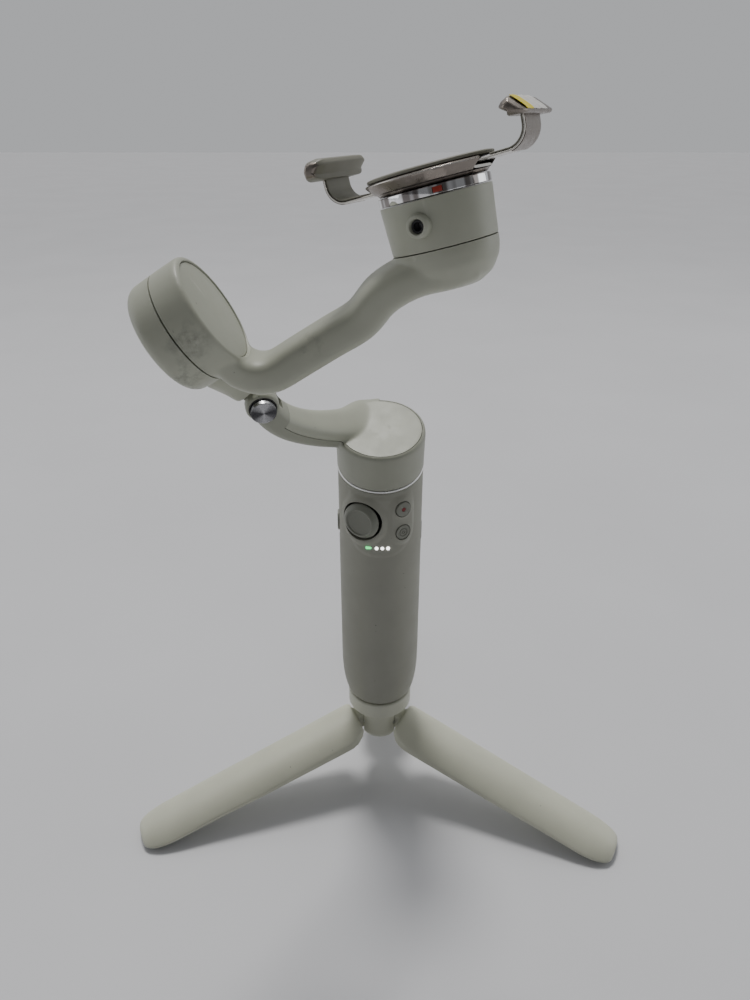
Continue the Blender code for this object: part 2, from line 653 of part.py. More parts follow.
def arm_spine(frames):
    """The tilt arm's middle line in the tilt frame: down the drum, round the elbow, out to the roll drum."""
    roll = frames["tilt"].inverted() @ frames["roll"]
    pad = (roll @ Vector((0.0, 0.0, (ROLL_GAP - GAP - 6.4) * MM))) / MM
    out = roll.to_3x3() @ Vector((1.0, 0.0, 0.0))
    mid = TILT_CAP_H / 2.0 + 0.2
    elbow = [(2.0, mid), (7.0, mid), (11.0, mid)]
    elbow += [(ARM_OFFSET - ELBOW_R + ELBOW_R * math.sin(a), mid + ELBOW_R - ELBOW_R * math.cos(a))
              for a in (math.radians(d) for d in (15, 35, 55, 75, 90))]
    bend = pad - out * 22.0
    straight = [(ARM_OFFSET, mid + s) for s in (19.0, 33.0, 45.0)]
    tail = [(bend.x * 0.55 + ARM_OFFSET * 0.45, bend.z - 2.0), (pad.x - out.x * 12.0, pad.z - out.z * 12.0)]
    tail += [(pad.x, pad.z), (pad.x + out.x * 8.0, pad.z + out.z * 8.0)]
    return [Vector((x, 0.0, z)) for x, z in elbow + straight + tail]


def make_tilt_arm(frames, link, paint):
    body = add_empty("tilt_body", frames["tilt"], link)
    spine = arm_spine(frames)
    side = Vector((0.0, 1.0, 0.0))
    widths = (16.0, 15.0, 13.4, 12.2, 11.2, 10.4, 9.9, 9.6, 9.2, 9.2, 9.6, 11.0, 12.6, 13.6, 12.0)
    thick = (5.2, 5.2, 5.3, 5.6, 5.9, 6.2, 6.4, 6.5, 6.6, 6.6, 6.6, 6.6, 6.4, 6.2, 5.2)
    rings = []
    for k, here in enumerate(spine):
        before = spine[max(k - 1, 0)]
        after = spine[min(k + 1, len(spine) - 1)]
        along = (after - before).normalized()
        up = along.cross(side)
        rings.append(rounded_ring(here, side, up, widths[k], thick[k], 3.4, 22))
    arm = skinned("tilt_arm", rings, body, paint["shell"])
    drum = [(0.0, GAP), (TILT_R, GAP), (TILT_R, TILT_CAP_H - 2.2), (TILT_R - 0.7, TILT_CAP_H - 0.7)]
    drum += [(TILT_R - 2.2, TILT_CAP_H), (0.0, TILT_CAP_H)]
    join(arm, turned("guide_tilt_drum", drum, body, None))
    over = body.matrix_world.inverted() @ frames["roll"]
    pad_high = ROLL_GAP - GAP
    pad = [(0.0, pad_high - 13.6), (9.0, pad_high - 13.2), (13.4, pad_high - 10.6), (16.2, pad_high - 6.0)]
    pad += [(ROLL_LOW_R, pad_high - 2.0), (ROLL_LOW_R, pad_high), (0.0, pad_high)]
    join(arm, turned("guide_roll_pad", pad, body, None, over))
    cut(arm, turned("guide_roll_plane", disc_profile(28.0, pad_high, pad_high + 14.0), body, None, over))
    cut(arm, turned("guide_tilt_recess", disc_profile(17.5, -3.0, 2.7), body, None))
    cut(arm, turned("guide_face_recess", disc_profile(FACE_R + GAP, TILT_CAP_H - 1.3, 40.0), body, None))
    face = [(0.0, TILT_CAP_H - 1.0), (FACE_R, TILT_CAP_H - 1.0), (FACE_R, TILT_CAP_H - 0.3)]
    face += [(FACE_R - 0.6, TILT_CAP_H), (0.0, TILT_CAP_H + 0.1)]
    turned("tilt_face_cover", face, body, paint["shell"])
    clearing = turned("guide_elbow_clearing", ring_profile(16.0, 40.0, -12.0, GAP), body, None)
    cut(arm, clearing)
    level = link.matrix_world.inverted() @ frames["tilt"]
    motor("tilt", 17.2, -TILT_BASE_H + 1.9, 2.4, -TILT_BASE_H + 2.1, link, body, level, Matrix(), paint)
    return body


def make_roll_drum(frames, arm, paint):
    body = add_empty("roll_body", frames["roll"], arm)
    solid = [(0.0, ROLL_GAP), (ROLL_LOW_R, ROLL_GAP), (ROLL_HIGH_R, ROLL_TOP), (0.0, ROLL_TOP)]
    drum = turned("roll_drum_shell", solid, body, paint["shell"])
    socket_place = turn(-24.0, "Z") @ shift(0.0, 0.0, -10.5) @ turn(90.0, "X")
    boss = turned("guide_boss", disc_profile(3.6, 15.9, 20.4), body, None, socket_place, 18)
    join(drum, boss)
    cut(drum, turned("guide_boss_hole", disc_profile(2.1, 12.4, 30.0), body, None, socket_place, 16))
    cut(drum, turned("guide_roll_pocket", disc_profile(ROLL_LOW_R - 2.0, -40.0, -9.4), body, None))
    sleeve = ring_profile(1.3, 1.8, 15.6, 19.9)
    turned("side_socket_sleeve", sleeve, body, paint["dark"], socket_place, 14)
    band = ring_profile(15.6, ROLL_HIGH_R, ROLL_TOP + GAP, -0.4)
    ring = turned("mount_ring", band, body, paint["chrome"], sides=36)
    notch = block("guide_marker_notch", (-1.6, -21.4, -2.7), (1.6, -17.3, -0.7), body, None)
    cut(ring, notch)
    block("mount_marker", (-1.3, -17.95, -2.4), (1.3, -17.6, -1.0), body, paint["red"])
    turned("mount_magnet", ring_profile(5.0, 15.3, ROLL_TOP + GAP, -0.4), body, paint["magnet"])
    level = arm.matrix_world.inverted() @ frames["roll"]
    motor("roll", 14.9, ROLL_GAP + 0.2, -9.7, ROLL_GAP, arm, body, level, Matrix(), paint)
    return body


# ---------------------------------------------------------------- phone clamp

def make_clamp(frames, roll, paint):
    body = add_empty("clamp_body", frames["clamp"], roll)
    profile = [(0.0, 0.0), (17.4, 0.0), (CLAMP_R - 0.4, 3.2), (CLAMP_R, 3.8)]
    profile += [(CLAMP_R - 0.5, 4.3), (0.0, 4.3)]
    base = turned("clamp_base", profile, body, paint["metal"], sides=36)
    half = STRIP_HALF_W + GAP
    channel = block("guide_channel", (-30.0, -half, 0.9), (30.0, half, 10.0), body, None)
    cut(base, channel)
    pad = [(0.0, 4.6), (CLAMP_R - 0.9, 4.6), (CLAMP_R - 0.9, 5.2), (CLAMP_R - 1.6, 5.8), (0.0, 5.8)]
    turned("clamp_front_pad", pad, body, paint["pad"], sides=36)
    turned("clamp_pinion", disc_profile(2.3, 1.2, 4.2), body, paint["steel"], sides=12)
    make_jaw("left", -1.0, 1.2, frames, body, paint)
    make_jaw("right", 1.0, 2.85, frames, body, paint)
    return body


def strip_rings(strip_low, neck_top):
    """Sections of a strip along the channel, round the bend and up to neck_top, for the +X side."""
    mid = strip_low + STRIP_T / 2.0
    spine = [(-17.0, mid, 0.0), (26.0, mid, 0.0)]
    for degrees in (18, 36, 54, 72, 90):
        a = math.radians(degrees)
        spine.append((NECK_X + NECK_BEND * math.sin(a), mid + NECK_BEND * (1.0 - math.cos(a)), degrees))
    spine.append((NECK_X + NECK_BEND, neck_top, 90.0))
    rings = []
    for x, z, degrees in spine:
        a = math.radians(degrees)
        up = Vector((-math.sin(a), 0.0, math.cos(a)))
        rings.append(rounded_ring((x, 0.0, z), (0.0, -1.0, 0.0), up, STRIP_HALF_W, STRIP_T / 2.0, 9.0, 12))
    return rings


def make_jaw(side, sign, strip_low, frames, clamp, paint):
    body = add_empty(f"clamp_{side}_body", frames["clamp"], clamp)
    flip = turn(0.0 if sign > 0 else 180.0, "Z")
    strip = strip_rings(strip_low, NECK_TOPS[side])
    arm = skinned(f"clamp_arm_{side}", strip, body, paint["metal"], place=flip)
    window = block(f"guide_window_{side}", (-14.6, -4.2, 0.0), (3.6, 2.6, 4.6), body, None, flip)
    cut(arm, window)
    outline = [(JAW_X + x, JAW_LOW + z) for x, z in JAW_OUTLINES[side]]
    upright = flip @ turn(90.0, "X")
    bar = extruded(f"clamp_jaw_{side}", outline, -JAW_HALF_L, JAW_HALF_L, body, paint["metal"], upright)
    add_bevel(bar, 0.5, 1)


# ---------------------------------------------------------------- the whole object

def make_paints():
    table = {
        "shell": ((0.44, 0.45, 0.38), 0.45, 0.0),
        "grip": ((0.28, 0.29, 0.25), 0.6, 0.0),
        "leg": ((0.49, 0.50, 0.42), 0.5, 0.0),
        "pale": ((0.52, 0.53, 0.46), 0.45, 0.0),
        "pad": ((0.33, 0.32, 0.28), 0.5, 0.0),
        "metal": ((0.30, 0.27, 0.24), 0.35, 0.9),
        "steel": ((0.62, 0.62, 0.62), 0.3, 1.0),
        "chrome": ((0.85, 0.85, 0.86), 0.1, 1.0),
        "magnet": ((0.2, 0.2, 0.21), 0.4, 0.9),
        "copper": ((0.5, 0.25, 0.12), 0.4, 0.8),
        "dark": ((0.05, 0.05, 0.055), 0.5, 0.0),
        "rubber": ((0.12, 0.12, 0.12), 0.85, 0.0),
        "cell": ((0.1, 0.12, 0.2), 0.5, 0.0),
        "board": ((0.03, 0.12, 0.06), 0.5, 0.0),
        "lamp": ((0.7, 0.8, 0.7), 0.2, 0.0),
        "red": ((0.5, 0.05, 0.03), 0.4, 0.0),
    }
    return {name: make_material(name, *values) for name, values in table.items()}


def main():
    clear_scene()
    paint = make_paints()
    frames = world_frames()
    tripod = make_tripod(frames, paint)
    handle = make_handle(frames, tripod, paint)
    rod = make_rod(frames, handle, paint)
    pan = make_pan(frames, rod, paint)
    link = make_link(frames, pan, paint)
    arm = make_tilt_arm(frames, link, paint)
    roll = make_roll_drum(frames, arm, paint)
    make_clamp(frames, roll, paint)
    bpy.context.view_layer.update()


main()
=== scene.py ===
"""Looks of a folding three-axis camera gimbal for a phone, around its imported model.

Lengths are millimetres in each joint's own frame, and become metres where a mesh is made. Every mesh
is stored in the row frame, so one set of object coordinates serves every material.
"""

import json
import math

import bmesh
import bpy
from mathutils import Matrix, Vector
from mathutils.bvhtree import BVHTree


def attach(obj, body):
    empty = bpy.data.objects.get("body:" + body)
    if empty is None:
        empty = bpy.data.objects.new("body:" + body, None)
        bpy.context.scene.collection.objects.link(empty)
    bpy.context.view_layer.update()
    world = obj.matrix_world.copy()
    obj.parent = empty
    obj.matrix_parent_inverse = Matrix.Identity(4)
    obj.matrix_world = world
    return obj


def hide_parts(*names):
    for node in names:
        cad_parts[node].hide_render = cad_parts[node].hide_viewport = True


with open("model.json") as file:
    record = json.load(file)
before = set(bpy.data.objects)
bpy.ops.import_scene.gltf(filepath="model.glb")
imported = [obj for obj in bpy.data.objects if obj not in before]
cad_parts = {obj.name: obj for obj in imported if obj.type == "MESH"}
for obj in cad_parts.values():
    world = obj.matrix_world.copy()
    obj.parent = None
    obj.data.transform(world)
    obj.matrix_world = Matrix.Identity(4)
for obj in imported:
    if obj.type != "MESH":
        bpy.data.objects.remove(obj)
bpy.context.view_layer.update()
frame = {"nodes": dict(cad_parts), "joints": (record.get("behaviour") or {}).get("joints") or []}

MM = 0.001
ROUND = 128  # sides of a drum
FINE = 72  # sides of a small turned piece
VOXEL = 0.5  # grid of a melted skin
PASSES = 26  # smoothing passes of a melted skin
GAP = 0.3  # air between two moving pieces
UP = Vector((0.0, 0.0, 1.0))

# Tripod
LEG_SLOPE = 16.0
LEG_PIVOT_R = 10.0
LEG_LENGTH = 125.5
LEG_SPLIT = 58.0
LEG_FLOOR = -6.4
LEG_FLOOR_RISE = 4.6
TRIPOD_R = 16.0
HUB_R = 12.2
HUB_LOW_Z = 26.0
HUB_TOP_Z = 46.0
BAND_TOP_Z = 54.4
STUD_R = 3.1
STUD_LOW_Z = 44.0
STUD_HIGH_Z = 61.0

# Handle
HANDLE_LOW_Z = 54.9
HANDLE_HIGH_Z = 186.0
HANDLE_R = 19.3
HANDLE_FOOT_R = 14.6
HEAD_TILT = 20.0
WALL = 2.0
ROD_LOW_Z = 63.0
ROD_R = {"outer": 6.9, "middle": 5.7, "inner": 4.5}
ROD_TOP_Z = {"outer": 178.2, "middle": 179.2, "inner": 180.4}
JOYSTICK_AZ = -26.5
JOYSTICK_Z = 164.3
JOYSTICK_R = 8.5
JOYSTICK_PIVOT = 14.2
BUTTON_AZ = 30.0
RECORD_Z = 170.1
MODE_Z = 158.6
BUTTON_R = 3.5
SLIDER_Z = 155.5
LED_Z = 151.1
LAMP_DOTS = (-1.8, 0.8, 3.4)
LAMP_PILL = -5.4
PORT_Z = 134.0
TRIGGER_PIN_Z = 170.0
WALL_CUT = (12.0, 30.0)  # how a cutter reaches through the handle's wall
KEY_FOOT = 16.2

# Pan drum, fold hinge, tilt drum
DRUM_R = 19.5
PAN_HIGH = 19.6
ARM_START = Vector((0.7, 10.0, 13.8))
ARM_LEAVES = Vector((-10.0, 10.6, 10.2))
ARM_ARRIVES = Vector((5.8, -4.6, -19.1))
ARM_ROOT_HALF_W = 9.6
PAN_ARM_HALF_T = 5.6
KNUCKLE_R = 6.6
HINGE_HALF_W = 7.0
TONGUE_HALF_W = 2.6
PIN_R = 2.0
PIN_HEAD_R = 4.95
TILT_R = 20.0
TILT_BASE_H = 11.0
TILT_CAP_H = 11.2
ARM_OFFSET = 28.0
ELBOW_R = 12.6
FACE_R = 17.6
ARM_SWEEP_R = 36.5
ARM_HALF_W = (16.0, 15.0, 13.4, 12.2, 11.2, 10.4, 9.9, 9.6, 9.2, 9.2, 9.6, 11.0, 12.6, 13.6, 12.0)
ARM_HALF_T = (5.2, 5.2, 5.3, 5.6, 5.9, 6.2, 6.4, 6.5, 6.6, 6.6, 6.6, 6.6, 6.4, 6.2, 5.2)

# Roll drum and clamp
ROLL_GAP = -18.2
ROLL_TOP = -3.3
ROLL_LOW_R = 17.2
ROLL_HIGH_R = 18.0
CLAMP_R = 21.0
STRIP_HALF_W = 8.2
STRIP_T = 1.3
JAW_X = 31.0
JAW_HALF_L = 17.0
NECK_BEND = 5.8
NECK_X = 27.4
JAW_LOW = 10.4
NECK_TOPS = {"left": 10.7, "right": 11.9}
CLAMP_SIDES = 160

# Sections of the two jaws, as (out from the phone, up, rounding)
JAW_SECTIONS = {
    "left": ((-1.6, 5.0, 0.9), (-2.4, 3.6, 0.7), (0.0, 1.3, 0.8), (0.0, -0.2, 0.3),
             (4.6, -0.2, 0.9), (5.0, 2.6, 1.8), (3.6, 5.2, 1.6), (0.6, 5.5, 1.5)),
    "right": ((-1.2, 5.0, 0.8), (-2.4, 3.8, 0.6), (0.0, 2.2, 0.6), (0.0, 1.2, 0.3),
              (4.6, 0.8, 0.6), (5.3, 1.5, 0.5), (0.8, 5.9, 0.8)),
}

# Stage, in metres and degrees
FLOOR_HALF = 6.0
LIGHTS_AIM = (0.0, 0.0, 0.17)
WARM = (1.0, 0.99, 0.97)
COOL = (0.97, 0.985, 1.0)
CAMERA_AT = (-0.0006, -0.3328, 0.328)
CAMERA_PITCH = 62.2
CAMERA_LENS = 27.04


# ---------------------------------------------------------------- frames

JOINTS = {joint["name"]: joint for joint in frame["joints"]}


def axes(origin, x, y, z):
    """A frame from its origin in metres and its three axes."""
    turned_axes = Matrix((x, y, z)).transposed().to_4x4()
    return Matrix.Translation(origin) @ turned_axes


def squared(vector, along):
    """What a vector keeps square to a unit direction, at length one."""
    return (vector - along * vector.dot(along)).normalized()


def joint_frame(name, x=None, y=None):
    """A joint's frame: Z along its axis, and one of the other axes given."""
    z = Vector(JOINTS[name]["axis"]).normalized()
    if x is None:
        x = Vector(y).cross(z).normalized()
    x = squared(Vector(x), z)
    return axes(Vector(JOINTS[name]["pos_m"]), x, z.cross(x), z)


def shift(x, y, z):
    return Matrix.Translation(Vector((x, y, z)) * MM)


def spot(place, x, y, z):
    """A point of a frame, in the row frame."""
    return place @ (Vector((x, y, z)) * MM)


def turn(degrees, axis):
    return Matrix.Rotation(math.radians(degrees), 4, axis)


def leg_frame(side):
    """A leg's frame: X down the leg, Y along its joint's axis."""
    origin = Vector(JOINTS[f"leg_{side}_fold"]["pos_m"])
    y = Vector(JOINTS[f"leg_{side}_fold"]["axis"]).normalized()
    out = y.cross(UP)
    slope = math.radians(LEG_SLOPE)
    x = out * math.cos(slope) - UP * math.sin(slope)
    return axes(origin, x, y, x.cross(y))


PAN = joint_frame("pan_joint", x=(1.0, 0.0, 0.0))
STAND = Matrix.Translation((PAN.translation.x, PAN.translation.y, 0.0))
FOLD = joint_frame("fold_joint", y=JOINTS["pan_joint"]["axis"])
TILT = joint_frame("tilt_joint", y=(0.0, 1.0, 0.0))
ROLL = joint_frame("roll_joint", y=(0.0, 1.0, 0.0))
CLAMP = joint_frame("clamp_pinion_spin", x=JOINTS["clamp_right_slide"]["axis"])
LEGS = {side: leg_frame(side) for side in ("left", "right", "rear")}


def handle_frame(azimuth, height):
    """A frame on the handle's axis: Z points out through the wall, Y points up the handle."""
    return STAND @ shift(0.0, 0.0, height) @ turn(azimuth, "Z") @ turn(90.0, "X")


# ---------------------------------------------------------------- shape tools

def soften(corners, closed=False, steps=5):
    """An outline from (x, y, radius) corners, with each corner rounded by an arc."""
    outline = []
    count = len(corners)
    for k, (x, y, radius) in enumerate(corners):
        corner = Vector((x, y))
        if not radius or (not closed and k in (0, count - 1)):
            outline.append((x, y))
            continue
        back = Vector(corners[k - 1][:2]) - corner
        ahead = Vector(corners[(k + 1) % count][:2]) - corner
        half = back.angle(ahead) / 2.0
        reach = min(radius / math.tan(half), 0.49 * back.length, 0.49 * ahead.length)
        middle = (back.normalized() + ahead.normalized()).normalized() * (reach / math.cos(half))
        first = back.normalized() * reach - middle
        last = ahead.normalized() * reach - middle
        spread = first.angle(last)
        for step in range(steps + 1):
            t = step / steps
            share = (first * math.sin((1.0 - t) * spread) + last * math.sin(t * spread)) / math.sin(spread)
            outline.append(tuple(corner + middle + share))
    return outline


def linked(name, data):
    """A new object of the scene, for a mesh, a light or a camera."""
    item = bpy.data.objects.new(name, data)
    bpy.context.scene.collection.objects.link(item)
    return item


def new_piece(name, points, faces, place, sharp=32.0):
    """A mesh piece from points in millimetres in a frame, stored in the row frame."""
    mesh = bpy.data.meshes.new(name)
    mesh.from_pydata([tuple(place @ (Vector(p) * MM)) for p in points], [], faces)
    work = bmesh.new()
    work.from_mesh(mesh)
    bmesh.ops.recalc_face_normals(work, faces=work.faces[:])
    work.to_mesh(mesh)
    work.free()
    shade(mesh, sharp)
    return linked(name, mesh)


def shade(mesh, sharp=32.0):
    mesh.shade_smooth()
    mesh.set_sharp_from_angle(angle=math.radians(sharp))


def turned(name, corners, place, sides=ROUND, steps=5, closed=False):
    """A closed outline of (radius, height) or (radius, height, rounding) turned about the frame's Z axis.

    An outline that never reaches the axis is closed on itself, as a ring.
    """
    full = [(*corner, 0.0)[:3] for corner in corners]
    points = []
    rows = []
    for radius, height in soften(full, closed, steps):
        if radius < 1e-6:
            rows.append([len(points)] * sides)
            points.append((0.0, 0.0, height))
            continue
        rows.append(list(range(len(points), len(points) + sides)))
        for k in range(sides):
            a = math.tau * k / sides
            points.append((radius * math.cos(a), radius * math.sin(a), height))
    faces = []
    for here, there in zip(rows, rows[1:] + rows[:1]):
        for k in range(sides):
            n = (k + 1) % sides
            face = list(dict.fromkeys((here[k], here[n], there[n], there[k])))
            if len(face) > 2:
                faces.append(face)
    return new_piece(name, points, faces, place)


def ring(name, inner, outer, low, high, place, rounding=0.3, sides=ROUND):
    """A turned ring with softened edges."""
    corners = [(r, z, rounding) for r, z in ((outer, low), (outer, high), (inner, high), (inner, low))]
    return turned(name, corners, place, sides, closed=True)


def disc(name, radius, low, high, place, sides=ROUND, rounding=0.0):
    corners = [(0.0, low), (radius, low, rounding), (radius, high, rounding), (0.0, high)]
    return turned(name, corners, place, sides)


def skinned(name, rings, place, closed=False):
    """A skin over rings of equally many points; closed joins the last ring to the first."""
    count = len(rings[0])
    points = [p for ring_points in rings for p in ring_points]
    faces = []
    joins = len(rings) if closed else len(rings) - 1
    for r in range(joins):
        base = r * count
        over = ((r + 1) % len(rings)) * count
        for k in range(count):
            n = (k + 1) % count
            faces.append((base + k, base + n, over + n, over + k))
    if not closed:
        faces.append(tuple(reversed(range(count))))
        faces.append(tuple(range((len(rings) - 1) * count, len(rings) * count)))
    return new_piece(name, points, faces, place)


def oval(centre, across, up, half_across, half_up, power=3.2, count=48):
    """A ring of points on a superellipse, between an ellipse at power 2 and a rectangle."""
    points = []
    for k in range(count):
        a = math.tau * (k + 0.5) / count
        c = math.cos(a)
        s = math.sin(a)
        u = math.copysign(abs(c) ** (2.0 / power), c) * half_across
        v = math.copysign(abs(s) ** (2.0 / power), s) * half_up
        points.append(Vector(centre) + Vector(across) * u + Vector(up) * v)
    return points


def extruded(name, corners, low, high, place, bevel=0.0, steps=5):
    """A closed (x, y, radius) outline pulled from low to high along Z, its rims beveled where asked."""
    outline = soften([(*corner, 0.0)[:3] for corner in corners], True, steps)
    count = len(outline)
    points = [(x, y, low) for x, y in outline] + [(x, y, high) for x, y in outline]
    faces = [tuple(reversed(range(count))), tuple(range(count, 2 * count))]
    for k in range(count):
        n = (k + 1) % count
        faces.append((k, n, count + n, count + k))
    item = new_piece(name, points, faces, place)
    if bevel:
        add_bevel(item, bevel)
    return item


def add_bevel(item, width, segments=3):
    edges = item.modifiers.new("edges", "BEVEL")
    edges.width = width * MM
    edges.segments = segments
    edges.limit_method = "ANGLE"
    edges.angle_limit = math.radians(50.0)
    freeze(item)


def box_piece(name, low, high, place, bevel=0.0, corner=0.0):
    """A box between two corners; its upright edges and its rims are rounded."""
    (x0, y0, z0), (x1, y1, z1) = low, high
    corners = [(x, y, corner) for x, y in ((x0, y0), (x1, y0), (x1, y1), (x0, y1))]
    return extruded(name, corners, z0, z1, place, bevel)


def freeze(item):
    """Turns an object's modifiers into its mesh."""
    bpy.context.view_layer.update()
    graph = bpy.context.evaluated_depsgraph_get()
    mesh = bpy.data.meshes.new_from_object(item.evaluated_get(graph))
    item.modifiers.clear()
    item.data = mesh
    shade(mesh)


def combine(item, tool, operation):
    """A Boolean of an item with a tool, which is used up."""
    step = item.modifiers.new("step", "BOOLEAN")
    step.operation = operation
    step.object = tool
    step.solver = "MANIFOLD"
    freeze(item)
    bpy.data.objects.remove(tool, do_unlink=True)
    return item


def cut(item, tool):
    return combine(item, tool, "DIFFERENCE")


def copy_of(item, name):
    twin = item.copy()
    twin.data = item.data.copy()
    twin.name = name
    bpy.context.scene.collection.objects.link(twin)
    return twin


def melted(name, solids, voxel=VOXEL, passes=PASSES):
    """Overlapping solids melted into one skin, with filleted joins and softened edges."""
    work = bmesh.new()
    for solid in solids:
        work.from_mesh(solid.data)
        bpy.data.objects.remove(solid, do_unlink=True)
    mesh = bpy.data.meshes.new(name)
    work.to_mesh(mesh)
    work.free()
    item = linked(name, mesh)
    melt = item.modifiers.new("melt", "REMESH")
    melt.mode = "VOXEL"
    melt.voxel_size = voxel * MM
    smooth = item.modifiers.new("smooth", "SMOOTH")
    smooth.factor = 0.5
    smooth.iterations = passes
    freeze(item)
    return item


def tube(name, path, radius, sides=8):
    """A thin tube along points in the row frame, in metres."""
    rings = []
    for k, here in enumerate(path):
        along = (path[min(k + 1, len(path) - 1)] - path[max(k - 1, 0)]).normalized()
        across = squared(across, along) if rings else along.orthogonal().normalized()
        up = along.cross(across)
        rings.append([
            (here + (across * math.cos(a) + up * math.sin(a)) * radius * MM) / MM
            for a in (math.tau * s / sides for s in range(sides))
        ])
    return skinned(name, rings, Matrix())


def groove(item, path, radius):
    """A thin line cut along an item's skin, under a path of points near it."""
    tree = BVHTree.FromPolygons([v.co for v in item.data.vertices], [p.vertices for p in item.data.polygons])
    snapped = [tree.find_nearest(point)[0] for point in path]
    return cut(item, tube("groove", snapped, radius))


def bezier(points, t):
    a, b, c, d = (Vector(p) for p in points)
    s = 1.0 - t
    return a * s**3 + b * (3 * s * s * t) + c * (3 * s * t * t) + d * t**3


def smooth_step(low, high, value):
    t = min(max((value - low) / (high - low), 0.0), 1.0)
    return t * t * (3.0 - 2.0 * t)


def settle(piece, body, look, slot, *nodes):
    """Paints a piece and puts it on its body, in the place of the CAD nodes that it stands for."""
    piece.data.materials.clear()
    piece.data.materials.append(LOOKS[look])
    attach(piece, body)
    if nodes:
        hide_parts(*nodes)
    return piece


# ---------------------------------------------------------------- materials

class Paint:
    """A node material under construction: sizes are millimetres on the object."""

    def __init__(self, name, roughness, metallic=0.0, coat=0.0):
        self.material = bpy.data.materials.new(name)
        self.material.use_nodes = True
        self.tree = self.material.node_tree
        self.shader = self.tree.nodes["Principled BSDF"]
        self.shader.inputs["Roughness"].default_value = roughness
        self.shader.inputs["Metallic"].default_value = metallic
        self.shader.inputs["Coat Weight"].default_value = coat
        self.place = self.tree.nodes.new("ShaderNodeTexCoord").outputs["Object"]

    def link(self, output, target):
        self.tree.links.new(output, target)

    def noise(self, size, detail=3.0, roughness=0.55, stretch=None):
        """Cloudy noise with features of one size; stretch scales it along each axis."""
        node = self.tree.nodes.new("ShaderNodeTexNoise")
        node.inputs["Scale"].default_value = 1.0 / (size * MM)
        node.inputs["Detail"].default_value = detail
        node.inputs["Roughness"].default_value = roughness
        vector = self.place
        if stretch:
            mapping = self.tree.nodes.new("ShaderNodeMapping")
            mapping.inputs["Scale"].default_value = stretch
            self.link(vector, mapping.inputs["Vector"])
            vector = mapping.outputs["Vector"]
        self.link(vector, node.inputs["Vector"])
        return node.outputs["Fac"]

    def spread(self, value, low, high, to_low=0.0, to_high=1.0):
        node = self.tree.nodes.new("ShaderNodeMapRange")
        node.inputs["From Min"].default_value = low
        node.inputs["From Max"].default_value = high
        node.inputs["To Min"].default_value = to_low
        node.inputs["To Max"].default_value = to_high
        self.link(value, node.inputs["Value"])
        return node.outputs["Result"]

    def math(self, operation, first, second):
        node = self.tree.nodes.new("ShaderNodeMath")
        node.operation = operation
        for socket, value in zip(node.inputs, (first, second)):
            if isinstance(value, float):
                socket.default_value = value
            else:
                self.link(value, socket)
        return node.outputs["Value"]

    def mix(self, factor, first, second):
        """A colour between two, each a colour or a node's output."""
        node = self.tree.nodes.new("ShaderNodeMix")
        node.data_type = "RGBA"
        self.link(factor, node.inputs["Factor"])
        for socket, value in ((node.inputs[6], first), (node.inputs[7], second)):
            if isinstance(value, tuple):
                socket.default_value = (*value, 1.0)
            else:
                self.link(value, socket)
        return node.outputs[2]

    def cloud(self, size, detail=3.0, to_low=0.0, to_high=1.0):
        """Noise drawn out to a full swing between two values."""
        return self.spread(self.noise(size, detail), 0.3, 0.7, to_low, to_high)

    def wave(self, value, rate):
        return self.math("SINE", self.math("MULTIPLY", value, rate), 0.0)

    def vector_math(self, operation, vector, value):
        node = self.tree.nodes.new("ShaderNodeVectorMath")
        node.operation = operation
        node.inputs[1].default_value = value
        self.link(vector, node.inputs[0])
        return node.outputs

    def distance(self, centre):
        """Distance in millimetres from a point in the row frame."""
        far = self.vector_math("DISTANCE", self.place, centre)["Value"]
        return self.math("MULTIPLY", far, 1.0 / MM)

    def offsets(self, centre, *directions):
        """Distances in metres from a point, one along each direction."""
        offset = self.vector_math("SUBTRACT", self.place, centre)["Vector"]
        return [self.vector_math("DOT_PRODUCT", offset, way)["Value"] for way in directions]

    def edges(self, low, high):
        """One on the convex edges of a fine mesh, and zero on its faces."""
        point = self.tree.nodes.new("ShaderNodeNewGeometry").outputs["Pointiness"]
        return self.spread(point, low, high)

    def colour(self, output):
        self.link(output, self.shader.inputs["Base Color"])

    def roughness(self, output):
        self.link(output, self.shader.inputs["Roughness"])

    def bump(self, *layers):
        """Bump from (height, depth in millimetres) layers, one over the other."""
        normal = None
        for height, depth in layers:
            node = self.tree.nodes.new("ShaderNodeBump")
            node.inputs["Distance"].default_value = depth * MM
            self.link(height, node.inputs["Height"])
            if normal:
                self.link(normal, node.inputs["Normal"])
            normal = node.outputs["Normal"]
        self.link(normal, self.shader.inputs["Normal"])


def tint(colour, factor):
    return tuple(min(1.0, channel * factor) for channel in colour)


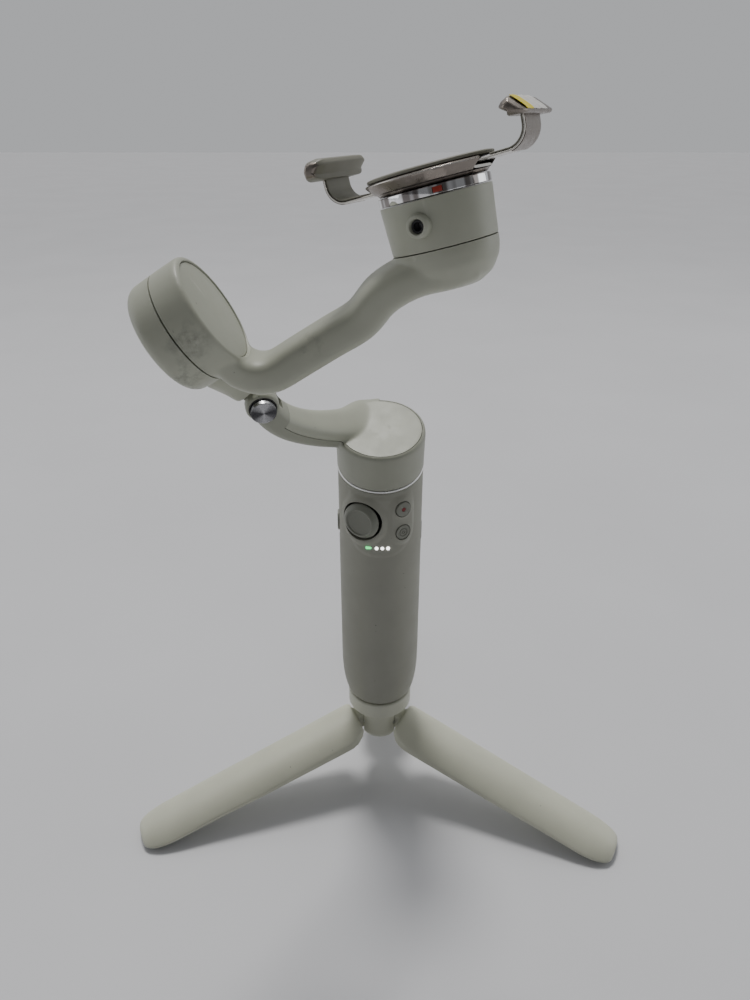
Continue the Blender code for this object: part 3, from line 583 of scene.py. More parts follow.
def plastic(name, colour, roughness, grain=0.006, worn=(0.62, 0.62, 0.55), wear=0.35, smudges=()):
    """Satin painted plastic: cloudy tone, fine spark-eroded grain, rubbed edges, specks and scuffs."""
    paint = Paint(name, roughness)
    base = paint.mix(paint.cloud(24.0, 4.0), tint(colour, 0.94), tint(colour, 1.05))
    edges = paint.edges(0.515, 0.56)
    rub = paint.math("MULTIPLY", edges, paint.spread(paint.noise(5.0, 5.0), 0.42, 0.62, 0.0, wear))
    base = paint.mix(rub, base, worn)
    specks = paint.spread(paint.noise(1.6, 1.0), 0.79, 0.83, 0.0, 0.7)
    base = paint.mix(specks, base, tint(colour, 0.35))
    for centre, size, strength in smudges:
        near = paint.spread(paint.distance(centre), 0.25 * size, size, strength, 0.0)
        patch = paint.math("MULTIPLY", near, paint.spread(paint.noise(4.5, 5.0, 0.7), 0.47, 0.7))
        base = paint.mix(patch, base, tint(colour, 0.34))
    paint.colour(base)
    scuffs = paint.spread(paint.noise(0.9, 2.0, 0.5, (1.0, 0.16, 1.0)), 0.6, 0.72)
    rough = paint.cloud(9.0, 4.0, roughness - 0.06, roughness + 0.06)
    paint.roughness(paint.math("ADD", rough, paint.math("MULTIPLY", scuffs, 0.05)))
    paint.bump((paint.noise(0.32, 2.0), grain), (scuffs, -0.002))
    return paint.material


def metal(name, colour, roughness, brush=None, depth=0.001, coat=0.0, anisotropic=0.0):
    """Metal with a brushed or blasted grain, cloudy handling marks and brighter rubbed edges."""
    paint = Paint(name, roughness, 1.0, coat)
    paint.shader.inputs["Anisotropic"].default_value = anisotropic
    base = paint.mix(paint.cloud(6.0, 4.0), tint(colour, 0.93), tint(colour, 1.06))
    rub = paint.math("MULTIPLY", paint.edges(0.52, 0.58), 0.55)
    paint.colour(paint.mix(rub, base, tint(colour, 1.7)))
    marks = paint.noise(2.2, 5.0, 0.65)
    paint.roughness(paint.spread(marks, 0.35, 0.7, roughness * 0.8, roughness * 1.35 + 0.02))
    paint.bump((paint.noise(0.25, 2.0, 0.5, brush), depth))
    return paint.material


def round_axis(paint, centre, axis):
    """The two distances across an axis and the angle round it, as sockets."""
    x = axis.orthogonal().normalized()
    parts = paint.offsets(centre, x, axis.cross(x))
    return parts, paint.math("ARCTAN2", *parts)


def banded_mirror(name, centre, axis):
    """A polished ring with uneven darker bands round it, which stand in for a room's reflections."""
    paint = Paint(name, 0.06, 1.0)
    _, angle = round_axis(paint, centre, axis)
    bands = paint.wave(angle, 11.0)
    bands = paint.math("ADD", bands, paint.math("MULTIPLY", paint.wave(angle, 29.0), 0.7))
    paint.colour(paint.mix(paint.spread(bands, -0.6, 0.5), (0.24, 0.22, 0.21), (0.93, 0.93, 0.94)))
    paint.roughness(paint.cloud(2.0, 3.0, 0.04, 0.12))
    paint.bump((paint.noise(0.25, 2.0), 0.0006))
    return paint.material


def spun_metal(name, centre, axis):
    """A faced-off disc: fine rings round an axis, and paler wedges that stand in for its fan of light."""
    paint = Paint(name, 0.26, 1.0)
    parts, angle = round_axis(paint, centre, axis)
    fan = paint.wave(angle, 2.0)
    fan = paint.math("ADD", fan, paint.math("MULTIPLY", paint.wave(angle, 9.0), 0.1))
    paint.colour(paint.mix(paint.spread(fan, -0.9, 1.3), (0.07, 0.07, 0.075), (0.5, 0.5, 0.51)))
    squares = [paint.math("MULTIPLY", part, part) for part in parts]
    radius = paint.math("SQRT", paint.math("ADD", squares[0], squares[1]), 0.0)
    rings = paint.wave(radius, math.tau / (0.22 * MM))
    paint.roughness(paint.cloud(1.2, 3.0, 0.2, 0.34))
    paint.bump((rings, 0.003))
    return paint.material


def glow(name, colour, strength):
    """A lit lamp lens: bright, with a slightly uneven tint."""
    paint = Paint(name, 0.3)
    uneven = paint.mix(paint.noise(0.8), colour, tint(colour, 1.2))
    paint.colour(uneven)
    paint.link(uneven, paint.shader.inputs["Emission Color"])
    paint.shader.inputs["Emission Strength"].default_value = strength
    paint.bump((paint.noise(0.4), 0.003))
    return paint.material


def wound(name, colour):
    """Lacquered wire wound on a core, seen as close ridges."""
    paint = Paint(name, 0.34, 0.9)
    ridges = paint.tree.nodes.new("ShaderNodeTexWave")
    ridges.wave_type = "BANDS"
    ridges.bands_direction = "DIAGONAL"
    ridges.inputs["Scale"].default_value = 0.5 / MM
    ridges.inputs["Distortion"].default_value = 0.6
    paint.link(paint.place, ridges.inputs["Vector"])
    paint.colour(paint.mix(ridges.outputs["Fac"], tint(colour, 0.45), colour))
    paint.roughness(paint.cloud(1.5, 3.0, 0.28, 0.42))
    paint.bump((ridges.outputs["Fac"], 0.05))
    return paint.material


def circuit(name):
    """Green solder mask over faint tracks."""
    paint = Paint(name, 0.38)
    tracks = paint.tree.nodes.new("ShaderNodeTexBrick")
    tracks.inputs["Scale"].default_value = 0.3 / MM
    tracks.inputs["Color1"].default_value = (0.012, 0.075, 0.03, 1.0)
    tracks.inputs["Color2"].default_value = (0.015, 0.09, 0.036, 1.0)
    tracks.inputs["Mortar"].default_value = (0.03, 0.15, 0.06, 1.0)
    paint.link(paint.place, tracks.inputs["Vector"])
    tone = paint.cloud(4.0, 3.0, 0.0, 0.3)
    paint.colour(paint.mix(tone, tracks.outputs["Color"], (0.01, 0.06, 0.03)))
    paint.bump((tracks.outputs["Fac"], 0.03))
    return paint.material


def sticker_paper(name, centre, along):
    """Coated paper with a yellow band at one end and a few creases."""
    paint = Paint(name, 0.42)
    reach, = paint.offsets(centre, along)
    band = paint.spread(reach, -3.8 * MM, -3.5 * MM, 1.0, 0.0)
    stain = paint.spread(paint.noise(3.0, 4.0), 0.35, 0.75, 0.0, 0.5)
    paper = paint.mix(stain, (0.78, 0.76, 0.73), (0.6, 0.57, 0.56))
    paint.colour(paint.mix(band, paper, (0.87, 0.72, 0.015)))
    paint.roughness(paint.cloud(2.0, 3.0, 0.36, 0.5))
    paint.bump((paint.noise(2.6, 3.0), 0.08))
    return paint.material


def make_looks():
    drum_marks = (
        (spot(TILT, 2.0, -19.5, 3.0), 9.0, 0.75),
        (spot(TILT, 12.0, -16.5, -5.0), 8.0, 0.85),
        (spot(TILT, 17.0, -10.0, -8.5), 5.0, 0.8),
    )
    bar_marks = ((spot(TILT, 24.0, -10.0, 33.0), 7.0, 0.45), (spot(TILT, 27.0, -6.0, 12.0), 5.0, 0.4))
    return {
        "shell": plastic("satin_shell", (0.415, 0.425, 0.345), 0.42, smudges=drum_marks + bar_marks),
        # Painted shade: the lower pan shell is the shell's own plastic painted darker, for the shade on its
        # downward-facing wall.
        "shell_painted_shade": plastic("lower_shell_painted_shade", (0.315, 0.322, 0.262), 0.44, smudges=bar_marks),
        "bright": metal("satin_bright_ring", (0.86, 0.86, 0.85), 0.34),
        "grip": plastic("soft_grip", (0.3, 0.3, 0.252), 0.56, 0.012, (0.4, 0.4, 0.34), 0.25),
        "control": plastic("control_caps", (0.2, 0.205, 0.17), 0.46, 0.006, (0.5, 0.5, 0.44), 0.5),
        # Painted light: the legs and the hub take the shell's plastic painted lighter, for the light that
        # falls on the legs' upper faces.
        "leg": plastic("satin_leg_painted_lighter", (0.545, 0.55, 0.445), 0.46),
        "pale": plastic("satin_collar", (0.545, 0.55, 0.455), 0.42),
        "pad": plastic("clamp_pad", (0.215, 0.21, 0.165), 0.5, 0.01, (0.45, 0.42, 0.36), 0.3),
        "metal": metal("greige_metal", (0.235, 0.208, 0.184), 0.3),
        "edge": metal("polished_edge", (0.6, 0.575, 0.53), 0.2),
        "steel": metal("drawn_steel", (0.6, 0.6, 0.61), 0.27, (1.0, 1.0, 0.05)),
        "chrome": banded_mirror("mirror_chrome", ROLL.translation, ROLL.to_3x3() @ UP),
        "magnet": metal("plated_magnet", (0.24, 0.24, 0.25), 0.3, depth=0.003),
        "copper": wound("wound_copper", (0.62, 0.27, 0.1)),
        "dark": plastic("black_plastic", (0.018, 0.018, 0.019), 0.42, 0.008, (0.09, 0.09, 0.09), 0.4),
        "rubber": plastic("foot_rubber", (0.105, 0.105, 0.098), 0.8, 0.02, (0.2, 0.2, 0.19), 0.4),
        "cell": plastic("cell_wrap", (0.07, 0.09, 0.17), 0.35, 0.004, (0.16, 0.18, 0.25), 0.3),
        "board": circuit("circuit_board"),
        "lens": plastic("light_guide", (0.5, 0.54, 0.5), 0.22, 0.002, (0.6, 0.6, 0.6), 0.1),
        "red": plastic("red_marker", (0.33, 0.03, 0.015), 0.3, 0.003, (0.5, 0.1, 0.06), 0.3),
        "record": plastic("record_dot", (0.2, 0.008, 0.01), 0.35, 0.003, (0.3, 0.05, 0.05), 0.2),
        "spun": spun_metal("spun_hinge_cap", FOLD.translation, FOLD.to_3x3() @ UP),
        "lit_white": glow("lit_white_lamp", (0.85, 0.85, 0.85), 4.0),
        "lit_green": glow("lit_green_lamp", (0.08, 0.75, 0.22), 1.7),
        "sticker": sticker_paper("blank_sticker", spot(CLAMP, JAW_X + 3.0, -3.0, JAW_LOW + 4.0),
                                 CLAMP.to_3x3() @ Vector((0.0, 1.0, 0.0))),
    }


LOOKS = make_looks()

# The look of every CAD node that stays, which are the parts inside and the small turned pins.
KEPT_NODES = {
    "steel": ("leg_pin_left", "leg_pin_right", "leg_pin_rear", "trigger_pin", "pan_bearing", "tilt_bearing",
              "roll_bearing", "clamp_pinion"),
    "magnet": ("pan_rotor", "tilt_rotor", "roll_rotor"),
    "copper": ("pan_stator", "tilt_stator", "roll_stator"),
    "dark": ("rod_guide", "joystick_gimbal_ring"),
    "cell": ("battery",),
    "board": ("main_board",),
    "lens": ("lamp_window",),
}


def paint_kept_nodes():
    for look, names in KEPT_NODES.items():
        for name in names:
            mesh = frame["nodes"][name].data
            mesh.materials.clear()
            mesh.materials.append(LOOKS[look])


# ---------------------------------------------------------------- tripod

def make_tripod():
    well_r = 3.5
    hub = turned("hub", [(0.0, HUB_LOW_Z), (9.4, HUB_LOW_Z, 3.0), (HUB_R, HUB_LOW_Z + 4.6, 3.0),
                         (HUB_R, 43.6, 0.8), (15.4, HUB_TOP_Z - 0.8, 0.4), (15.4, HUB_TOP_Z),
                         (well_r, HUB_TOP_Z), (well_r, STUD_LOW_Z - GAP), (0.0, STUD_LOW_Z - GAP)], STAND)
    for place in LEGS.values():
        cut(hub, box_piece("slot", (-6.4, -4.4, -12.0), (12.0, 4.4, 6.2), place @ turn(-LEG_SLOPE, "Y")))
    hub = melted("tripod_hub_moulding", [hub], 0.4, 6)
    cut(hub, disc("top_plane", 30.0, HUB_TOP_Z, 60.0, STAND))
    cut(hub, disc("stud_well", well_r, STUD_LOW_Z - GAP, 60.0, STAND, FINE))
    for side, place in LEGS.items():
        pin_line = place @ turn(90.0, "X")
        cut(hub, disc("pin_bore", 1.35, -5.3, 5.3, pin_line, FINE))
        pin = disc(f"leg_pin_{side}_turned", 1.2, -5.15, 5.15, pin_line, FINE, 0.25)
        settle(pin, "tripod", "steel", "steel", f"leg_pin_{side}")
    settle(hub, "tripod", "leg", "leg", "tripod_hub")
    band = turned("collar_band_moulding", [
        (STUD_R + 0.5, HUB_TOP_Z + GAP), (16.3, HUB_TOP_Z + GAP, 0.5), (16.3, BAND_TOP_Z, 1.1),
        (14.0, BAND_TOP_Z, 0.3), (13.4, BAND_TOP_Z - 0.5, 0.3), (STUD_R + 0.5, BAND_TOP_Z - 0.5)],
        STAND, closed=True)
    settle(band, "tripod", "pale", "pale", "tripod_collar_band")
    make_stud()
    for side in LEGS:
        make_leg(side)


def make_stud():
    """The quarter-inch stud, with its thread's ridges as a helix of twenty to the inch."""
    pitch = 1.27
    core = STUD_R - 0.62
    angles = [math.tau * s / 60 for s in range(60)]
    turns = (STUD_HIGH_Z - BAND_TOP_Z - 1.0) / pitch
    low = BAND_TOP_Z + 0.4
    rows = [[(core * math.cos(a), core * math.sin(a), STUD_LOW_Z) for a in angles]]
    for k in range(int(turns * 24) + 1):
        rise = (k / 6.0) * pitch / 4.0
        row = []
        for s, a in enumerate(angles):
            phase = (rise / pitch - s / 60) % 1.0
            ridge = 1.0 - abs(2.0 * phase - 1.0)
            radius = core + (STUD_R - core) * smooth_step(0.1, 0.85, ridge)
            row.append((radius * math.cos(a), radius * math.sin(a), low + rise))
        rows.append(row)
    top = rows[-1][0][2] + 0.6
    rows.append([(core * math.cos(a), core * math.sin(a), top) for a in angles])
    settle(skinned("threaded_stud", rows, STAND), "tripod", "steel", "steel", "tripod_stud")


def leg_floor(x):
    """Height of the leg's inner face, which rises towards the tip."""
    return LEG_FLOOR + LEG_FLOOR_RISE * x / LEG_LENGTH


def table_z(side, x):
    """Height of the table's top at x, in a leg's frame."""
    slope = math.radians(LEG_SLOPE)
    return (math.sin(slope) * x - JOINTS[f"leg_{side}_fold"]["pos_m"][2] / MM) / math.cos(slope)


def dome(share):
    """How far a quarter-round edge has fallen, from nothing at 0 to one at 1."""
    return 1.0 - math.sqrt(max(0.0, 1.0 - share))


def leg_section(x, outer_r, half_w, floor):
    """A leg's section at x: the arc of the folded tripod's skin over a flat inner face."""
    half = math.asin(min(1.0, half_w / outer_r))
    half = min(half, math.radians(LEG_SPLIT))
    arc = [(outer_r * math.sin(a), outer_r * math.cos(a) - LEG_PIVOT_R)
           for a in (half - 2.0 * half * k / 24 for k in range(25))]
    edge = abs(arc[0][0])
    shoulder = min(floor, arc[0][1] - 0.6)
    corners = [(-edge + 0.5, shoulder, 1.2), (edge - 0.5, shoulder, 1.2)]
    corners += [(arc[0][0], arc[0][1], 0.6)] + [(y, z, 0.0) for y, z in arc[1:-1]] + [(*arc[-1], 0.6)]
    return [Vector((x, y, z)) for y, z in soften(corners, True, 4)]


def make_leg(side):
    place = LEGS[side]
    widest = TRIPOD_R * math.sin(math.radians(LEG_SPLIT))
    rings = []
    first = 3.4
    tip_from = 104.0
    stations = [first + step for step in (0.05, 0.3, 0.8, 1.5, 2.4, 3.6, 5.0)]
    stations += [8.6 + 4.0 * k for k in range(1, 21)] + [91.0 + 2.0 * k for k in range(14)]
    stations += [118.5 + k for k in range(6)] + [124.2, 124.8, 125.3, LEG_LENGTH]
    for x in stations:
        root = 1.0 - min(max((x - first) / 2.0, 0.0), 1.0)
        root_drop = 1.1 * dome(root * root)
        root_narrow = 0.24 * max(0.0, (15.0 - x) / 11.6) ** 2
        tip = min(max((x - tip_from) / (LEG_LENGTH - tip_from), 0.0), 1.0)
        tip_drop = 4.2 * dome(tip**3.2)
        narrow = 1.0 - root_narrow - 0.04 * smooth_step(60.0, 92.0, x) - 0.5 * dome(tip**3.0)
        rings.append(leg_section(x, TRIPOD_R - root_drop - tip_drop, widest * narrow - root_drop,
                                 leg_floor(x) + 0.6 * root_drop + 0.35 * tip_drop))
    leg = skinned("leg_skin", rings, place)
    hub_line = place @ shift(0.0, 0.0, -LEG_PIVOT_R) @ turn(90.0, "Y")
    cut(leg, disc("relief", HUB_R + 0.6, -5.0, 11.8, hub_line))
    tongue = box_piece("tongue", (-4.2, -4.0, -4.2), (15.5, 4.0, 4.2), place, 0.0, 2.0)
    leg = melted(f"leg_{side}_moulding", [leg, tongue], 0.55, 5)
    cut(leg, disc("bore", 1.35, -9.0, 9.0, place @ turn(90.0, "X"), FINE))
    settle(leg, f"leg_{side}", "leg", "leg", f"leg_{side}")
    make_foot_pad(side, place)


def make_foot_pad(side, place):
    """A rubber foot, flat on the table, with shallow grip channels across it."""
    heel = 109.5
    toe = 122.5
    corners = [(x, table_z(side, x), 0.8) for x in (heel, toe)]
    corners += [(x, leg_floor(x) - 0.15, 0.5) for x in (toe, heel)]
    pad = extruded(f"foot_pad_{side}_moulding", corners, -5.2, 5.2, place @ turn(90.0, "X"), 0.5)
    for k in range(3):
        x = 112.6 + 3.1 * k
        z = table_z(side, x)
        cut(pad, box_piece("channel", (x - 0.45, -9.0, z - 2.0), (x + 0.45, 9.0, z + 0.35), place))
    settle(pad, f"leg_{side}", "rubber", "rubber", f"foot_pad_{side}")


# ---------------------------------------------------------------- handle

def handle_radius(height):
    """The handle swells from its foot to a long, nearly straight grip."""
    t = min((height - HANDLE_LOW_Z) / 24.0, 1.0)
    return HANDLE_FOOT_R + (HANDLE_R - HANDLE_FOOT_R) * math.sqrt(max(0.0, 1.0 - (1.0 - t) ** 2))


def handle_point(height, radius, angle):
    """A point of a ring that is level low on the handle, and leans to the head's tilt near the top."""
    lean = math.radians(HEAD_TILT) * smooth_step(118.0, HANDLE_HIGH_Z, height)
    y = radius * math.sin(angle)
    return Vector((radius * math.cos(angle), y * math.cos(lean), height + y * math.sin(lean)))


def on_front(azimuth):
    """Distance round the handle from its front line."""
    return math.radians(azimuth) * HANDLE_R


def panel_lift(across, height):
    """How far the control panel stands out of the handle: a broad pad, a collar and a button pad."""
    wide = (abs(across / 17.5) ** 2.6 + abs((height - 166.5) / 20.5) ** 2.6) ** (1.0 / 2.6)
    lift = 0.42 * (1.0 - smooth_step(0.9, 1.02, wide))
    collar = math.hypot(across - on_front(JOYSTICK_AZ), height - JOYSTICK_Z)
    stand = 1.25 * (1.0 - smooth_step(9.6, 13.2, collar))
    nearest = min(max(height, MODE_Z), RECORD_Z)
    pill = math.hypot(across - on_front(BUTTON_AZ), height - nearest)
    pad = 0.85 * (1.0 - smooth_step(4.4, 7.4, pill))
    for site in (MODE_Z, RECORD_Z):
        near = math.hypot(across - on_front(BUTTON_AZ), height - site)
        pad += 0.3 * (1.0 - smooth_step(3.6, 5.2, near))
    return lift + max(stand, pad)


def make_handle():
    top = HANDLE_HIGH_Z - 1.7
    heights = [HANDLE_LOW_Z + 0.1 * k * k for k in range(12)] + [68.5 + 2.4 * k for k in range(28)]
    fine_from = 135.0
    fine_steps = 118
    heights += [fine_from + (top - 0.5 - fine_from) * k / fine_steps for k in range(fine_steps + 1)]
    count = 240
    outer = []
    for height in heights:
        points = []
        for k in range(count):
            a = math.tau * k / count
            bare = handle_point(height, handle_radius(height), a)
            across = math.atan2(bare.x, -bare.y) * HANDLE_R
            lift = panel_lift(across, bare.z) if bare.y < 0.0 else 0.0
            lift *= smooth_step(top - 0.6, top - 3.4, height) if height > top - 3.4 else 1.0
            points.append(handle_point(height, handle_radius(height) + lift, a))
        outer.append(points)
    plain = [(top, HANDLE_R - 0.35)]
    plain += [(height, handle_radius(height) - WALL) for height in (
        top, 176.0, 160.0, 140.0, 118.0, 90.0, 74.0, 66.0, 60.0, 57.0, HANDLE_LOW_Z)]
    plain += [(HANDLE_LOW_Z, handle_radius(HANDLE_LOW_Z) - 0.7)]
    plain = [[handle_point(*at, math.tau * k / count) for k in range(count)] for at in plain]
    shell = skinned("handle_grip_shell", plain[-1:] + outer + plain[:-1], STAND, closed=True)
    cut_controls(shell)
    settle(shell, "handle", "grip", "grip", "handle_shell")
    cap = turned("handle_base_cap_moulding", [
        (6.4, HANDLE_LOW_Z, 0.3), (12.2, HANDLE_LOW_Z, 0.4), (12.2, 57.0, 0.3), (6.4, 57.0, 0.3)],
        STAND, closed=True)
    settle(cap, "handle", "dark", "grip", "handle_base_cap")
    insert = ring("brass_thread_insert", STUD_R + 0.4, 6.0, HANDLE_LOW_Z, 62.0, STAND, 0.25, FINE)
    settle(insert, "handle", "steel", "steel", "thread_insert")
    rim = ring("polished_top_ring", 16.4, DRUM_R + 0.15, -1.4, -0.25, PAN, 0.35)
    settle(rim, "handle", "bright", "chrome", "handle_top_ring")
    make_lamps()
    make_joystick()
    make_buttons()
    make_side_controls()
    make_trigger()


def cut_controls(shell):
    """Openings in the handle's wall for the joystick, the buttons, the lamps, the slider and the trigger."""
    low, high = WALL_CUT
    key_hole_r = BUTTON_R + 0.35
    hollows = ((JOYSTICK_AZ, JOYSTICK_Z, JOYSTICK_R + 0.95), (BUTTON_AZ, RECORD_Z, key_hole_r),
               (BUTTON_AZ, MODE_Z, key_hole_r))
    for azimuth, height, radius in hollows:
        cut(shell, disc("hole", radius, low, high, handle_frame(azimuth, height), FINE))
    lamps = handle_frame(0.0, LED_Z)
    for x in LAMP_DOTS:
        cut(shell, disc("lamp_hole", 0.8, low, high, lamps @ shift(x, 0.0, 0.0), 40))
    cut(shell, box_piece("pill_hole", (LAMP_PILL - 1.4, -0.6, low), (LAMP_PILL + 1.4, 0.6, high),
                         lamps, 0.0, 0.59))
    windows = ((-90.0, SLIDER_Z, 3.4, 7.6, 1.6), (90.0, LED_Z, 3.3, 5.3, 1.2),
               (180.0, 160.0, 5.3, 11.3, 1.4), (90.0, PORT_Z, 2.2, 5.0, 2.1))
    for azimuth, height, half_w, half_h, corner in windows:
        cut(shell, box_piece("window", (-half_w, -half_h, low), (half_w, half_h, high),
                             handle_frame(azimuth, height), 0.0, corner))


def make_lamps():
    """A light guide behind the wall, with a lens that fills each hole."""
    place = handle_frame(0.0, LED_Z)
    guide = box_piece("lamp_light_guide", (-7.4, -1.4, 15.4), (5.2, 1.4, 17.0), place, 0.3, 0.8)
    settle(guide, "handle", "lens", "lamp", "lamp_window")
    for k, x in enumerate(LAMP_DOTS):
        lens = turned(f"lamp_lens_{k + 1}", [(0.0, 16.9), (0.74, 16.9), (0.74, 19.55, 0.25), (0.0, 19.75)],
                      place @ shift(x, 0.0, 0.0), 40)
        settle(lens, "handle", "lit_white", "lamp")
    lens = box_piece("lamp_lens_green", (LAMP_PILL - 1.34, -0.54, 16.9), (LAMP_PILL + 1.34, 0.54, 19.0),
                     place, 0.2, 0.53)
    settle(lens, "handle", "lit_green", "lamp")


def make_joystick():
    place = handle_frame(JOYSTICK_AZ, JOYSTICK_Z) @ shift(0.0, 0.0, JOYSTICK_PIVOT)
    cap = turned("joystick_cap_moulding", [
        (0.0, -1.0), (3.4, -1.0, 0.3), (3.4, 3.8, 0.8), (JOYSTICK_R - 0.6, 4.1, 0.4),
        (JOYSTICK_R, 4.6, 0.4), (JOYSTICK_R, 5.5, 0.5), (7.3, 6.9, 0.6), (6.6, 7.5, 0.3),
        (6.1, 7.5, 0.25), (5.6, 7.0, 0.4), (0.0, 6.8)], place)
    settle(cap, "joystick", "control", "grip", "joystick_cap")


def make_buttons():
    """Two round keys: one with a red dot let into it, and one with rings turned into its face."""
    key_profile = [(0.0, KEY_FOOT), (BUTTON_R, KEY_FOOT, 0.1), (BUTTON_R, 20.35, 0.35)]
    dot_r = 0.95
    record = handle_frame(BUTTON_AZ, RECORD_Z)
    seat = [(dot_r + 0.1, 20.45, 0.1), (dot_r + 0.1, 20.0), (0.0, 20.0)]
    key = turned("record_key", key_profile + seat, record, FINE)
    settle(key, "record_button", "control", "grip", "record_button")
    dot = turned("record_key_dot", [(0.0, 20.02), (dot_r, 20.02), (dot_r, 20.4, 0.15), (0.0, 20.45)],
                 record, 48)
    settle(dot, "record_button", "record", "red")
    face = [(2.15, 20.35, 0.12), (2.05, 20.05, 0.12), (1.65, 20.05, 0.12), (1.55, 20.35, 0.12),
            (0.95, 20.35, 0.12), (0.85, 20.05, 0.12), (0.45, 20.05, 0.1), (0.35, 20.35, 0.1), (0.0, 20.35)]
    mode = turned("mode_key", key_profile + face, handle_frame(BUTTON_AZ, MODE_Z), FINE)
    settle(mode, "mode_button", "control", "grip", "mode_button")


def make_side_controls():
    """The zoom slider on one flank, and the power key and the charging port on the other."""
    flank = handle_frame(-90.0, SLIDER_Z)
    knob = box_piece("zoom_slider_knob", (-2.9, -4.6, KEY_FOOT), (2.9, 4.6, 20.0), flank, 0.7, 1.4)
    for k in range(5):
        y = -2.6 + 1.3 * k
        cut(knob, box_piece("rib", (-4.0, y - 0.22, 19.65), (4.0, y + 0.22, 23.0), flank))
    settle(knob, "zoom_slider", "control", "grip", "zoom_slider")
    side = handle_frame(90.0, LED_Z)
    key = box_piece("power_key", (-3.0, -5.0, KEY_FOOT), (3.0, 5.0, 19.35), side, 0.6, 1.1)
    settle(key, "side_button", "control", "grip", "side_button")
    port_place = handle_frame(90.0, PORT_Z)
    port = box_piece("charging_port_shell", (-1.9, -4.7, 12.6), (1.9, 4.7, 18.9), port_place, 0.15, 1.85)
    cut(port, box_piece("mouth", (-1.35, -4.15, 14.0), (1.35, 4.15, 22.0), port_place, 0.0, 1.3))
    settle(port, "handle", "steel", "steel", "usb_port")
    blade = box_piece("charging_port_tongue", (-0.35, -3.3, 13.6), (0.35, 3.3, 18.2), port_place, 0.1, 0.2)
    settle(blade, "handle", "dark", "dark")


def make_trigger():
    pivot = handle_frame(180.0, TRIGGER_PIN_Z) @ shift(0.0, 0.0, 16.4)
    corners = [(-1.6, 0.6, 0.6), (1.4, 0.9, 0.8), (3.6, -1.6, 1.6), (4.5, -6.0, 3.0), (5.4, -12.0, 4.0),
               (6.6, -17.4, 1.2), (5.6, -20.4, 1.0), (2.4, -20.8, 0.8), (0.6, -19.0, 0.8), (0.0, -10.0),
               (-2.0, -2.0, 0.8)]
    lever = extruded("trigger_lever", corners, -4.9, 4.9, pivot @ turn(-90.0, "Y"), 0.9)
    cut(lever, disc("bore", 1.05, -8.0, 8.0, pivot @ turn(90.0, "Y"), 40))
    settle(lever, "trigger", "control", "grip", "trigger")


def make_rod():
    """Three polished tubes, and the head plate that the innermost carries."""
    bodies = {"outer": "rod_outer", "middle": "rod_middle", "inner": "rod_head"}
    for part, body in bodies.items():
        radius = ROD_R[part]
        piece = ring(f"rod_{part}_drawn_tube", radius - 1.0, radius, ROD_LOW_Z, ROD_TOP_Z[part],
                     STAND, 0.3, FINE)
        settle(piece, body, "steel", "steel", f"rod_{part}_tube")
    head = disc("rod_head_plate", 15.7, -1.7, -0.4, PAN, ROUND, 0.25)
    neck = disc("neck", ROD_R["inner"] - 1.3, 166.0, 184.2, STAND, FINE)
    combine(head, neck, "UNION")
    settle(head, "rod_head", "dark", "dark", "rod_head")


# ---------------------------------------------------------------- pan arm

def pan_arm_line(t):
    """The pan arm's middle at t, and its axes: across it and up, in the pan frame."""
    to_pan = PAN.inverted() @ FOLD
    end = to_pan.translation / MM
    end_across = to_pan.to_3x3() @ UP
    controls = (ARM_START, ARM_LEAVES, end + ARM_ARRIVES, end)
    start_across = (ARM_LEAVES - ARM_START).cross(UP).normalized()
    if start_across.dot(end_across) < 0.0:
        start_across.negate()
    here = bezier(controls, t)
    along = (bezier(controls, t + 0.02) - here).normalized()
    across = squared(start_across.lerp(end_across, smooth_step(0.3, 1.0, t)), along)
    up = along.cross(across)
    if up.z < 0.0:
        up.negate()
    return here, across, up


def pan_arm_half(t):
    half_w = ARM_ROOT_HALF_W + (HINGE_HALF_W - ARM_ROOT_HALF_W) * smooth_step(0.1, 0.7, t)
    half_w += 4.2 * (1.0 - smooth_step(0.12, 0.38, t))
    return half_w, PAN_ARM_HALF_T


def pan_seam_tool(grow):
    """What the top cover takes of the drum and arm; grow widens it for the gap that the lower shell keeps."""
    lid = disc("lid", DRUM_R - 1.75 + grow, PAN_HIGH - 1.5 - grow, 40.0, PAN)
    rings = []
    steps = 36
    last = 0.81 + 0.004 * grow
    for k in range(steps + 1):
        t = last * k / steps
        here, across, up = pan_arm_line(t)
        half_w, half_t = pan_arm_half(t)
        floor = half_t - 1.5 - 2.3 * smooth_step(0.0, 0.4, t) - grow
        span = half_w + 2.0
        high = half_t + 6.0
        corners = ((-span, floor), (span, floor), (span, high), (-span, high))
        rings.append([here + across * w + up * z for w, z in corners])
    return combine(lid, skinned("arm_lid", rings, PAN), "UNION")


